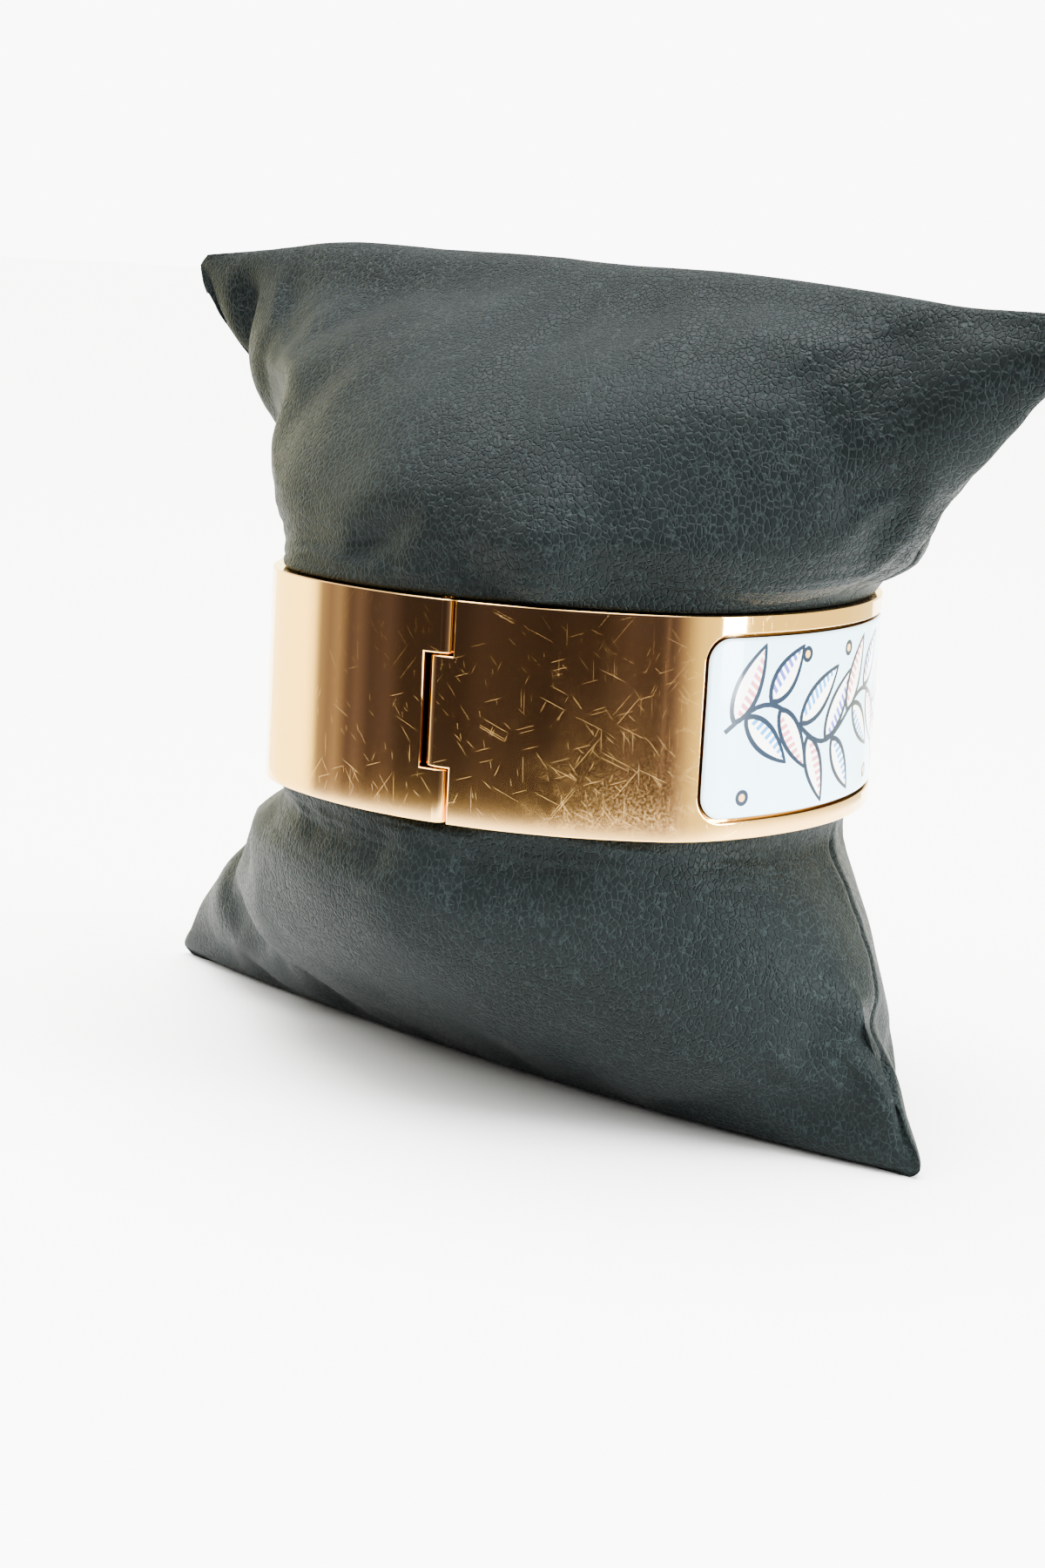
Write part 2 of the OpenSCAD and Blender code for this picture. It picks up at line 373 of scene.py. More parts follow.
def plainGoldMaterial():
    # The same plate on the pin and the tongue, where the only wear is rubbing
    material, tree = newMaterial("rubbed_gold_plate")
    place = addNode(tree, "TexCoord").outputs["Object"]
    rubs = addNode(tree, "TexNoise", inputs={
        "Vector": place,
        "Scale": 1 / (gold["rubGrain"] * mm),
        "Detail": 3.0,
    })
    rough = addNode(tree, "MapRange", inputs={
        "Value": rubs.outputs[0],
        "To Min": gold["roughness"],
        "To Max": gold["wornRoughness"],
    })
    metal = addNode(tree, "BsdfPrincipled", inputs={
        "Base Color": linearColour(gold["colour"]),
        "Metallic": 1.0,
        "Roughness": rough.outputs[0],
    })
    addNode(tree, "OutputMaterial", inputs={"Surface": metal.outputs[0]})
    return material


goldPlate = goldMaterial()
rubbedGold = plainGoldMaterial()


# The two halves of the band

band = {
    "height": (backHigh.z - backLow.z) / mm,
    "wall": 1.9,
    "rimRound": 0.17,
    "recessRound": 0.14,
    "roundSegments": 3,
    "closingGap": 0.12,
    "step": 0.35,              # length of one flat strip of the bent wall
    "knuckleRadius": 1.25,
    "knuckleHeight": 10.0,     # of the middle knuckle
    "leafGap": 0.12,
    "shoulderGap": 0.2,
    "pinRadius": 0.6,
    "boreGap": 0.03,
    "knuckleSink": 0.01,       # keeps a knuckle's end face off the band's own edge
    "knuckleSteps": 48,
    "endLean": 1.15,           # the arms' end faces lean back by this much over the wall
}
plaque = {
    "length": 42.4,
    "height": 16.2,
    "thickness": 1.0,
    "corner": 2.2,
    "gap": 0.25,
    "edgeRound": 0.45,
    "edgeSegments": 5,
    "cornerSegments": 10,
}
tongue = {
    "height": 8.0,
    "thickness": 0.6,
    "reach": 3.0,
    "gap": 0.15,
}


def slabFrom(outline, depth):
    # A flat plate: its outer face at y = 0, looking towards -Y
    bm = bmesh.new()
    bm.loops.layers.float_vector.new("shade")
    face = bm.faces.new([bm.verts.new((x, 0, z)) for x, z in outline])
    grown = bmesh.ops.extrude_face_region(bm, geom=[face])
    moved = [item for item in grown["geom"] if isinstance(item, bmesh.types.BMVert)]
    bmesh.ops.translate(bm, verts=moved, vec=(0, depth, 0))
    bmesh.ops.recalc_face_normals(bm, faces=bm.faces)
    return bm


def edgesAlong(bm, depth, keep):
    # Edges that lie at one depth and turn between the face there and a side wall
    found = []
    for edge in bm.edges:
        if any(abs(vert.co.y - depth) > near for vert in edge.verts) or len(edge.link_faces) != 2:
            continue
        flat = [abs(face.normal.y) > 0.9 for face in edge.link_faces]
        if flat[0] != flat[1] and keep(*[vert.co for vert in edge.verts]):
            found.append(edge)
    return found


def roundEdges(bm, edges, width, segments):
    bmesh.ops.bevel(bm, geom=edges, offset=width, offset_type="OFFSET", segments=segments,
                    profile=0.5, affect="EDGES", clamp_overlap=True, material=-1)


def cutAcross(bm, start, stop, step):
    count = math.ceil((stop - start) / step)
    for i in range(1, count):
        place = start + (stop - start) * i / count
        bmesh.ops.bisect_plane(bm, geom=bm.verts[:] + bm.edges[:] + bm.faces[:], dist=near / 10,
                               plane_co=(place, 0, 0), plane_no=(1, 0, 0))


def splitFaces(bm, chosen, cuts):
    # Cuts only the faces that chosen picks, each time along a plane through a place
    for place, across in cuts:
        faces = [face for face in bm.faces if chosen(face)]
        edges = {edge for face in faces for edge in face.edges}
        verts = {vert for face in faces for vert in face.verts}
        bmesh.ops.bisect_plane(bm, geom=list(verts) + list(edges) + faces, dist=near / 10,
                               plane_co=place, plane_no=across)
    return [face for face in bm.faces if chosen(face)]


def keepFlatPlace(bm):
    # Length and height on the flat plate, in millimetres, for patterns that follow it
    layer = bm.loops.layers.uv.new("flat")
    for face in bm.faces:
        for loop in face.loops:
            loop[layer].uv = (loop.vert.co.x, loop.vert.co.z)


def recess(bm):
    # A pocket with round corners in the outer face, for the plaque
    halfLength = plaque["length"] / 2 + plaque["gap"]
    halfHeight = plaque["height"] / 2 + plaque["gap"]
    outer = splitFaces(bm, lambda face: face.normal.y < -0.9, [
        ((-halfLength, 0, 0), (1, 0, 0)), ((halfLength, 0, 0), (1, 0, 0)),
        ((0, 0, -halfHeight), (0, 0, 1)), ((0, 0, halfHeight), (0, 0, 1)),
    ])
    middle = min(outer, key=lambda face: face.calc_center_median().length)
    grown = bmesh.ops.extrude_discrete_faces(bm, faces=[middle])
    bmesh.ops.translate(bm, verts=grown["faces"][0].verts[:], vec=(0, plaque["thickness"], 0))
    corners = []
    for edge in bm.edges:
        first, second = [vert.co for vert in edge.verts]
        inCorner = abs(abs(first.x) - halfLength) < near and abs(abs(first.z) - halfHeight) < near
        if inCorner and abs(first.x - second.x) < near and abs(first.z - second.z) < near:
            corners.append(edge)
    roundEdges(bm, corners, plaque["corner"] + plaque["gap"], plaque["cornerSegments"])
    room = band["recessRound"]   # the recess's rim lies within this of its outline
    rim = edgesAlong(bm, 0, lambda a, b: max(abs(a.x), abs(b.x)) < halfLength + room
                     and max(abs(a.z), abs(b.z)) < halfHeight + room)
    roundEdges(bm, rim, band["recessRound"], band["roundSegments"])


def slot(bm, start):
    # A pocket in the end face for the clasp's tongue
    halfHeight = tongue["height"] / 2 + tongue["gap"]
    middle = band["wall"] / 2
    halfDepth = tongue["thickness"] / 2 + tongue["gap"]
    ends = splitFaces(bm, lambda face: abs(face.calc_center_median().x - start) < near, [
        ((0, 0, -halfHeight), (0, 0, 1)), ((0, 0, halfHeight), (0, 0, 1)),
        ((0, middle - halfDepth, 0), (0, 1, 0)), ((0, middle + halfDepth, 0), (0, 1, 0)),
    ])
    centre = Vector((start, middle, 0))
    hole = min(ends, key=lambda face: (face.calc_center_median() - centre).length)
    grown = bmesh.ops.extrude_discrete_faces(bm, faces=[hole])
    bmesh.ops.translate(bm, verts=grown["faces"][0].verts[:], vec=(tongue["reach"], 0, 0))


def knuckle(bm, low, high):
    # A ring around the pin, spun from its section, with its end edges rounded
    inner = band["pinRadius"] + band["boreGap"]
    outer = band["knuckleRadius"]
    soft = band["rimRound"]
    turns = [math.pi / 8 * i for i in (1, 2, 3)]
    section = [(inner, low), (outer - soft, low)]
    section += [(outer - soft + soft * math.sin(a), low + soft - soft * math.cos(a)) for a in turns]
    section += [(outer, low + soft), (outer, high - soft)]
    section += [(outer - soft + soft * math.cos(a), high - soft + soft * math.sin(a)) for a in turns]
    section += [(outer - soft, high), (inner, high)]
    centre = ovalTowards(180, band["knuckleRadius"]) + Vector((0, 0, oval["middleHeight"]))
    verts = [bm.verts.new((centre + Vector((radius, 0, height))) * mm) for radius, height in section]
    edges = [bm.edges.new((verts[i - 1], verts[i])) for i in range(len(verts))]
    bmesh.ops.spin(bm, geom=verts + edges, cent=centre * mm, axis=(0, 0, 1), dvec=(0, 0, 0),
                   angle=2 * math.pi, steps=band["knuckleSteps"], use_merge=True)
    ring = {face for vert in verts for face in vert.link_faces}
    while True:    # spreads over the whole ring, which touches nothing else
        wider = {face for one in ring for edge in one.edges for face in edge.link_faces} - ring
        if not wider:
            break
        ring |= wider
    bmesh.ops.recalc_face_normals(bm, faces=list(ring))
    shadeEvenly(bm, 2)


def slantEnd(bm, place, lean):
    # Leans the end face at the hinge line back, so that the wall stays clear of the pin
    for vert in bm.verts:
        if abs(vert.co.x - place) < near:
            vert.co.x += lean * vert.co.y / band["wall"]


def finishMetal(bm, name):
    for face in bm.faces:
        face.smooth = True
    piece = objectFrom(bm, name, [goldPlate])
    setNormals(piece)
    return piece


def frontHalf():
    top = band["height"] / 2
    arm = band["knuckleHeight"] / 2
    start = hingeLine
    shoulder = start + band["knuckleRadius"] + band["shoulderGap"]
    stop = claspLine - band["closingGap"] / 2
    bm = slabFrom([
        (shoulder, -top), (stop, -top), (stop, top), (shoulder, top),
        (shoulder, arm), (start, arm), (start, -arm), (shoulder, -arm),
    ], band["wall"])
    for depth in (0, band["wall"]):    # all edges but those of the face that meets the knuckle
        edges = edgesAlong(bm, depth, lambda a, b: max(a.x, b.x) > start + near)
        roundEdges(bm, edges, band["rimRound"], band["roundSegments"])
    recess(bm)
    slantEnd(bm, start, band["endLean"])
    cutAcross(bm, start, stop, band["step"])
    keepFlatPlace(bm)
    shadeEvenly(bm, 1)
    wrapOnBand(bm)
    knuckle(bm, -arm + band["knuckleSink"], arm - band["knuckleSink"])
    return finishMetal(bm, "front_band_polished")


def backHalf():
    top = band["height"] / 2
    arm = band["knuckleHeight"] / 2 + band["leafGap"]
    stop = roundLength + hingeLine
    shoulder = stop - band["knuckleRadius"] - band["shoulderGap"]
    start = claspLine + band["closingGap"] / 2
    bm = slabFrom([
        (start, -top), (stop, -top), (stop, -arm), (shoulder, -arm),
        (shoulder, arm), (stop, arm), (stop, top), (start, top),
    ], band["wall"])
    for depth in (0, band["wall"]):    # all edges but those of the faces that meet the knuckles
        edges = edgesAlong(bm, depth, lambda a, b: min(a.x, b.x) < stop - near)
        roundEdges(bm, edges, band["rimRound"], band["roundSegments"])
    slot(bm, start)
    slantEnd(bm, stop, -band["endLean"])
    cutAcross(bm, start, stop, band["step"])
    keepFlatPlace(bm)
    shadeEvenly(bm, 1)
    wrapOnBand(bm)
    for side in (-1, 1):
        ends = sorted((side * (arm + band["knuckleSink"]), side * (top - band["knuckleSink"])))
        knuckle(bm, *ends)
    return finishMetal(bm, "back_band_polished")


frontBand = frontHalf()
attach(frontBand, "front_half")
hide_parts("front_band")
backBand = backHalf()
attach(backBand, "back_half")
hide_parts("back_band")
for node in ("hinge_pin", "clasp_tongue"):
    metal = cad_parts[node]
    metal.data.materials.clear()
    metal.data.materials.append(rubbedGold)
print("band halves:", len(frontBand.data.polygons), "and", len(backBand.data.polygons), "faces")


# The plaque: enamel on a curved plate, with a plain vine as its design

enamel = {
    "ground": "#D2EFFE",
    "outline": "#12263C",
    "white": "#FFFDFA",
    "pink": "#DB8C95",
    "blue": "#4497D6",
    "lilac": "#6169BC",
    "sand": "#E3B878",
}
enamelOrder = list(enamel)
glaze = {
    "roughness": 0.25,
    "coat": 0.35,
    "toneGrain": 3.846,      # size of the patches of lighter and darker colour
    "toneShare": 0.03,
    "waveGrain": 2.381,      # spacing of the glaze's waves
    "waveHeight": 0.02,
}
copperEdgeShade = {
    "colour": "#5A3320",
    "darkColour": "#2A1710",
    "stainGrain": 1.429,
    "roughness": 0.42,
    "steep": 0.62,           # faces that look outward less than this show the copper, painted dark as the shade in the gap
}
vine = {
    "margin": 0.35,          # kept free inside the plaque's rounded edge
    "lineWidth": 0.48,
    "stemWave": 2.0,         # height of the stem's waves
    "stemPitch": 17.2,       # length of one wave
    "stemPhase": 0.6,
    "stemWidth": 0.46,
    "stemEnd": 1.2,          # how far the stem stays from the margin
    "stemSteps": 44,
    "pairs": (2.0, 2.4),     # how far the first and the last pair of leaves stay from the margin
    "pairPitch": 4.214,      # length along the stem from one pair to the next
    "leafLength": 8.0,
    "leafWidth": 3.1,
    "leafAngle": 52,
    "leafFollow": 0.35,      # share of the stem's slope that a leaf turns with
    "leafRoom": 0.4,         # how far a leaf's tip stays from the margin at the ends
    "lowerShift": 1.25,      # the lower leaf of a pair sits this much further on
    "lowerSize": 0.92,
    "leafLean": 0.8,         # below 1, a leaf is fullest before its middle
    "leafBlunt": 0.85,       # below 1, its ends are blunter
    "leafSteps": 16,
    "tipInset": 0.624,       # width of the dark line at a leaf's two ends
    "tints": ["pink", "blue", "lilac", "pink", "blue", "pink", "lilac", "blue"],
    "stripePitch": 0.72,
    "stripeShare": 0.55,
    "stripeLean": 12,        # degrees away from square to the leaf
    "buds": 7,
    "budStart": 3.6,
    "budPitch": 7.396,
    "budRadius": 0.75,
    "budLine": 0.384,
    "budEdge": 1.9,          # how far a bud's middle is from the plaque's long side
    "budRoom": 1.0,
    "budSteps": 16,
}


def enamelMaterial(name, colour):
    # Printed enamel under a clear fired glaze: even colour, glassy surface, a faint
    # orange-peel waviness from the firing
    material, tree = newMaterial("fired_enamel_" + name)
    place = addNode(tree, "TexCoord").outputs["Object"]
    tone = addNode(tree, "TexNoise", inputs={
        "Vector": place,
        "Scale": 1 / (glaze["toneGrain"] * mm),
        "Detail": 2.0,
    })
    shade = addNode(tree, "MapRange", inputs={
        "Value": tone.outputs[0],
        "To Min": 1 - glaze["toneShare"],
        "To Max": 1 + glaze["toneShare"],
    })
    body = addNode(tree, "HueSaturation", inputs={
        "Color": linearColour(colour),
        "Value": shade.outputs[0],
    })
    wave = addNode(tree, "TexNoise", inputs={
        "Vector": place,
        "Scale": 1 / (glaze["waveGrain"] * mm),
        "Detail": 1.0,
    })
    relief = addNode(tree, "Bump", inputs={
        "Height": wave.outputs[0],
        "Strength": 0.1,
        "Distance": glaze["waveHeight"] * mm,
    })
    glass = addNode(tree, "BsdfPrincipled", inputs={
        "Base Color": body.outputs[0],
        "Roughness": glaze["roughness"],
        "IOR": 1.5,
        "Specular IOR Level": 0.25,
        "Coat Weight": glaze["coat"],
        "Coat Roughness": 0.05,
        "Normal": relief.outputs[0],
    })
    addNode(tree, "OutputMaterial", inputs={"Surface": glass.outputs[0]})
    return material


def copperEdgeShadeMaterial():
    # The copper plate's own edge, which the enamel doesn't cover, painted dark brown as the shade in
    # the gap around the plaque
    material, tree = newMaterial("copper_edge_painted_gap_shade")
    place = addNode(tree, "TexCoord").outputs["Object"]
    stain = addNode(tree, "TexNoise", inputs={
        "Vector": place,
        "Scale": 1 / (copperEdgeShade["stainGrain"] * mm),
        "Detail": 3.0,
    })
    colour = addNode(tree, "Mix", {"data_type": "RGBA"}, {
        "Factor": stain.outputs[0],
        6: linearColour(copperEdgeShade["colour"]),
        7: linearColour(copperEdgeShade["darkColour"]),
    })
    copper = addNode(tree, "BsdfPrincipled", inputs={
        "Base Color": colour.outputs[2],
        "Metallic": 1.0,
        "Roughness": copperEdgeShade["roughness"],
    })
    addNode(tree, "OutputMaterial", inputs={"Surface": copper.outputs[0]})
    return material


def roundedPlate(halfLength, halfHeight, corner, segments):
    points = []
    for turn, sideX, sideZ in ((0, 1, -1), (1, 1, 1), (2, -1, 1), (3, -1, -1)):
        for i in range(segments + 1):
            angle = math.radians(-90 + 90 * turn + 90 * i / segments)
            points.append((sideX * (halfLength - corner) + corner * math.cos(angle),
                           sideZ * (halfHeight - corner) + corner * math.sin(angle)))
    return points


def leafOutline(base, tip, width):
    # A pointed leaf, counterclockwise
    axis = tip - base
    side = Vector((-axis.y, axis.x)).normalized()
    steps = vine["leafSteps"]
    lower, upper = [], []
    for i in range(steps + 1):
        share = i / steps
        bulge = 0.0
        if 0 < share < 1:
            bulge = width / 2 * math.sin(math.pi * share ** vine["leafLean"]) ** vine["leafBlunt"]
        lower.append(base + axis * share - side * bulge)
        upper.append(base + axis * share + side * bulge)
    return lower + upper[-2:0:-1]


def halfLeaf(base, tip, width, which):
    # The part of a leaf on one side of its vein
    outline = leafOutline(base, tip, width)
    steps = vine["leafSteps"]
    if which < 0:
        return outline[:steps + 1]
    return outline[steps:] + [outline[0]]


def stripesAcross(base, tip, width):
    # Slanted strips over the whole leaf, which are only shown on its half
    axis = (tip - base).normalized()
    lean = math.radians(vine["stripeLean"])
    side = Vector((-axis.y, axis.x))
    across = side * math.cos(lean) + axis * math.sin(lean)
    half = width * 0.75    # reaches past the leaf's edges on both sides
    strips = []
    reach = (tip - base).length
    at = vine["stripePitch"]
    while at < reach:
        middle = base + axis * at
        thick = axis * vine["stripePitch"] * vine["stripeShare"] / 2
        strips.append([middle - thick - across * half, middle + thick - across * half,
                       middle + thick + across * half, middle - thick + across * half])
        at += vine["stripePitch"]
    return strips


def counterclockwise(points):
    area = sum(points[i - 1][0] * points[i][1] - points[i][0] * points[i - 1][1]
               for i in range(len(points)))
    return points if area > 0 else points[::-1]


def vineShapes():
    # Every coloured area in the order it is laid down: (colour, outline, shape it is kept inside)
    shapes = []
    reach = plaque["length"] / 2 - plaque["edgeRound"] - vine["margin"]
    rise = plaque["height"] / 2 - plaque["edgeRound"] - vine["margin"]
    line = vine["lineWidth"]

    def stemHeight(x):
        return vine["stemWave"] * math.sin(2 * math.pi * x / vine["stemPitch"] + vine["stemPhase"])

    def stemPoint(x):
        return Vector((x, stemHeight(x)))

    def addLeaf(base, angle, length, width, tint, hatched):
        direction = Vector((math.cos(math.radians(angle)), math.sin(math.radians(angle))))
        tip = base + direction * length
        shapes.append(("outline", leafOutline(base, tip, width), None))
        inBase = base + direction * vine["tipInset"]
        inTip = tip - direction * vine["tipInset"]
        inWidth = width - 2 * line
        shapes.append(("white", leafOutline(inBase, inTip, inWidth), None))
        shapes.append(("white", halfLeaf(inBase, inTip, inWidth, hatched), None))
        inside = len(shapes) - 1
        for strip in stripesAcross(inBase, inTip, inWidth):
            shapes.append((tint, strip, inside))

    count = vine["stemSteps"]
    half = reach - vine["stemEnd"]
    stem = [stemPoint(-half + 2 * half * i / count) for i in range(count + 1)]
    normals = []
    for i in range(count + 1):
        run = stem[min(i + 1, count)] - stem[max(i - 1, 0)]
        normals.append(Vector((-run.y, run.x)).normalized() * vine["stemWidth"] / 2)
    shapes.append(("outline", [p - n for p, n in zip(stem, normals)]
                   + [p + n for p, n in zip(stem, normals)][::-1], None))

    place = -reach + vine["pairs"][0]
    index = 0
    while place < reach - vine["pairs"][1]:
        slope = math.degrees(math.atan2(stemHeight(place + 0.1) - stemHeight(place - 0.1), 0.2))
        for side, shift, size in ((1, 0.0, 1.0), (-1, vine["lowerShift"], vine["lowerSize"])):
            base = stemPoint(place + shift)
            room = rise - side * base.y
            length = min(vine["leafLength"] * size, room / math.sin(math.radians(vine["leafAngle"])))
            angle = slope * vine["leafFollow"] + side * vine["leafAngle"]
            if base.x + length * math.cos(math.radians(angle)) < reach - vine["leafRoom"]:
                tint = vine["tints"][index % len(vine["tints"])]
                addLeaf(base, angle, length, vine["leafWidth"] * size, tint, 1 if index % 3 else -1)
            index += 1
        place += vine["pairPitch"]

    turns = [2 * math.pi * k / vine["budSteps"] for k in range(vine["budSteps"])]
    for number in range(vine["buds"]):
        x = -reach + vine["budStart"] + number * vine["budPitch"]
        if abs(x) > reach - vine["budRoom"]:
            continue
        side = 1 if stemHeight(x) < 0 else -1
        centre = Vector((x, side * (plaque["height"] / 2 - vine["budEdge"])))
        for colour, inset in (("outline", 0.0), ("sand", vine["budLine"])):
            radius = vine["budRadius"] - inset
            circle = [centre + Vector((math.cos(a), math.sin(a))) * radius for a in turns]
            shapes.append((colour, circle, None))
    return shapes


def enamelFaces(bm, border):
    # Cuts the flat front into coloured areas, with the last one laid down on top
    shapes = vineShapes()
    points, loops = [], []
    for outline in [border] + [counterclockwise(shape[1]) for shape in shapes]:
        loops.append(list(range(len(points), len(points) + len(outline))))
        points += [Vector((p[0], p[1])) for p in outline]
    verts, _, faces, _, _, origins = geometry.delaunay_2d_cdt(points, [], loops, 1, 1e-5)
    made = [bm.verts.new((v.x, 0, v.y)) for v in verts]
    for face, inside in zip(faces, origins):
        held = set(inside)    # the numbers of the outlines around it, 0 being the border
        if 0 not in held:
            continue
        colour = "ground"
        for number in sorted(held - {0}):
            name, _, within = shapes[number - 1]
            if within is None or within + 1 in held:
                colour = name
        corners = [made[i] for i in face]
        if len(set(corners)) > 2:
            bm.faces.new(corners).material_index = enamelOrder.index(colour)


def plaquePiece():
    outline = roundedPlate(plaque["length"] / 2, plaque["height"] / 2, plaque["corner"],
                           plaque["cornerSegments"])
    bm = slabFrom(outline, plaque["thickness"])
    roundEdges(bm, edgesAlong(bm, 0, lambda a, b: True), plaque["edgeRound"], plaque["edgeSegments"])
    roundEdges(bm, edgesAlong(bm, plaque["thickness"], lambda a, b: True), band["recessRound"], 2)
    outer = max((face for face in bm.faces if face.normal.y < -0.99), key=lambda face: face.calc_area())
    border = counterclockwise([(vert.co.x, vert.co.z) for vert in outer.verts])
    bmesh.ops.delete(bm, geom=[outer], context="FACES_ONLY")
    enamelFaces(bm, border)
    bmesh.ops.remove_doubles(bm, verts=bm.verts, dist=2 * near)
    bmesh.ops.recalc_face_normals(bm, faces=bm.faces)
    reach = plaque["length"] / 2
    cutAcross(bm, -reach, reach, 2 * band["step"])
    keepFlatPlace(bm)
    # Painted shade: the sides, the back and the steepest part of the rounded edge get the dark copper,
    # so the gap around the plaque looks shaded
    for face in bm.faces:
        if -face.normal.y < copperEdgeShade["steep"]:
            face.material_index = len(enamelOrder)
    shadeEvenly(bm, 1)
    wrapOnBand(bm)
    for face in bm.faces:
        face.smooth = True
    materials = [enamelMaterial(name, enamel[name]) for name in enamelOrder]
    piece = objectFrom(bm, "plaque_enamel", materials + [copperEdgeShadeMaterial()])
    setNormals(piece)
    return piece


plate = plaquePiece()
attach(plate, "front_half")
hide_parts("plaque")
print("plaque:", len(plate.data.polygons), "faces")


# The cushion

cushion = {
    "width": 104.0,
    "depth": 56.0,
    "topHeight": 37.7,        # above the band's middle, between the two corners
    "seamArch": 2.4,
    "seamFall": 2.7,
    "turn": -105.0,           # direction of the cushion's right end
    "seatGap": 0.3,
    "rimGap": 0.06,
    "rimRow": 0.03,           # height of the first row past the rim
    "columns": 440,
    "upperLevels": 84,
    "lowerLevels": 84,
    "levelEase": 1.15,        # above 1, the rows stand closer near the band
    "heldLevels": 6,
    "edgeLevels": 5,
    "topRound": 0.9,
    # Waves of the ridge: place along the width, height and half width
    "ridgeWaves": [(-34, 0.75, 11), (3, -0.3, 9), (51, 0.8, 7)],
    "baseRound": 1.4,
    "baseRoundEnds": 0.6,     # share of it at the two ends
    # The relief grows over these heights past the rims and above the table, and fades
    # between the last two below the ridge
    "pastRim": 2.5,
    "aboveTable": 5,
    "belowRidge": (4, 1),
}
# How far round to one side something reaches: from the sine of the direction where it
# begins to the one where it is full
foldSide = (-0.1, 0.3)
lumpSide = (-0.15, 0.45)
rowNames = ("level", "left", "right", "front", "back", "sharp", "held")
upperRows = [
    (0.00, 0.50, 0.50, 0.90, 0.90, 1.00, 1.0),
    (0.07, 0.55, 0.57, 0.98, 0.95, 1.05, 0.4),
    (0.20, 0.62, 0.67, 1.00, 0.95, 1.15, 0.0),
    (0.34, 0.73, 0.75, 0.92, 0.87, 1.30, 0.0),
    (0.52, 0.86, 0.84, 0.73, 0.70, 1.50, 0.0),
    (0.70, 0.98, 0.92, 0.50, 0.47, 1.70, 0.0),
    (0.86, 1.06, 1.00, 0.26, 0.25, 1.80, 0.0),
    (0.96, 1.09, 1.03, 0.10, 0.10, 1.80, 0.0),
    (1.00, 1.07, 1.02, 0.03, 0.03, 1.80, 0.0),
]
lowerRows = [
    (0.00, 0.50, 0.50, 0.90, 0.90, 1.00, 1.0),
    (0.09, 0.58, 0.53, 0.97, 0.97, 1.05, 0.4),
    (0.23, 0.69, 0.58, 0.98, 0.98, 1.15, 0.0),
    (0.40, 0.78, 0.65, 0.91, 0.96, 1.25, 0.0),
    (0.57, 0.90, 0.71, 0.77, 0.93, 1.40, 0.0),
    (0.75, 1.00, 0.78, 0.55, 0.86, 1.50, 0.0),
    (0.88, 1.05, 0.82, 0.34, 0.75, 1.60, 0.0),
    (0.965, 1.08, 0.84, 0.21, 0.64, 1.60, 0.0),
    (1.00, 1.06, 0.83, 0.14, 0.55, 1.60, 0.0),
]
# Folds that the band presses into the leather. Each runs from a place along the width at
# the band's edge to another one at the height that it reaches; side -1 is the front.
foldShape = {
    "rise": (0.0, 0.12),     # where a fold comes up and where it fades, as shares of its run
    "fall": (0.25, 1.6),
    "widening": 0.9,         # how much wider it is at the height that it reaches, as a share
}
folds = [
    {"side": -1, "edge": 9.8, "far": 7.4, "reach": 25, "out": -1.0, "wide": 3.2},
    {"side": -1, "edge": 14.2, "far": 19.4, "reach": 22, "out": 0.9, "wide": 2.6},
    {"side": -1, "edge": 20.0, "far": 21.4, "reach": 25, "out": -1.0, "wide": 3.8},
    {"side": -1, "edge": 26.6, "far": 34.0, "reach": 24, "out": 0.7, "wide": 3.4},
    {"side": -1, "edge": -9.0, "far": -14.0, "reach": 21, "out": -0.45, "wide": 4.0},
    {"side": -1, "edge": -17.0, "far": -24.0, "reach": 23, "out": 0.4, "wide": 4.0},
    {"side": 1, "edge": -6.0, "far": -9.0, "reach": 24, "out": -1.2, "wide": 3.6},
    {"side": 1, "edge": 1.0, "far": 3.0, "reach": 21, "out": 0.9, "wide": 3.0},
    {"side": 1, "edge": 10.0, "far": 15.0, "reach": 25, "out": -1.0, "wide": 3.8},
    {"side": 1, "edge": -18.0, "far": -25.0, "reach": 23, "out": 0.7, "wide": 4.0},
    {"side": -1, "edge": 14.0, "far": 17.8, "reach": -24, "out": -1.15, "wide": 3.3},
    {"side": -1, "edge": 21.5, "far": 32.0, "reach": -24, "out": 1.0, "wide": 3.6},
    {"side": -1, "edge": 6.7, "far": 1.0, "reach": -24, "out": 0.95, "wide": 3.6},
    {"side": -1, "edge": -6.0, "far": -14.0, "reach": -22, "out": -0.5, "wide": 4.2},
    {"side": 1, "edge": 5.0, "far": 9.0, "reach": -25, "out": -1.1, "wide": 3.6},
    {"side": 1, "edge": -3.0, "far": -7.0, "reach": -23, "out": 0.9, "wide": 3.4},
    {"side": 1, "edge": -13.0, "far": -19.0, "reach": -25, "out": -0.9, "wide": 4.0},
]
# Soft lumps and hollows of the filling: along the width, height from the band's middle,
# side (-1 is the front), how far out, and the sizes along and up
lumps = [
    {"along": -40.0, "height": 31, "side": -1, "out": 0.4, "wide": 3.6, "tall": 7.0},
    {"along": -47.5, "height": 30, "side": -1, "out": -1.8, "wide": 2.0, "tall": 8.0},
    {"along": 10, "height": 24, "side": -1, "out": 0.8, "wide": 14.0, "tall": 8.0},
    {"along": 44, "height": 30, "side": -1, "out": 0.9, "wide": 5.0, "tall": 6.0},
    {"along": -20, "height": -26, "side": -1, "out": 0.9, "wide": 12.0, "tall": 8.0},
    {"along": 0, "height": 24, "side": 1, "out": 0.9, "wide": 16.0, "tall": 8.0},
    {"along": -42, "height": 28, "side": 1, "out": 1.5, "wide": 4.0, "tall": 8.0},
    {"along": -30, "height": -24, "side": 1, "out": 0.8, "wide": 12.0, "tall": 8.0},
]
# Unevenness of the filling: size of its swells, how far they lift the leather, and a shift
swells = [
    (17.0, 0.8, (3.1, 7.7, 1.9)),
    (7.0, 0.18, (0, 0, 0)),
]
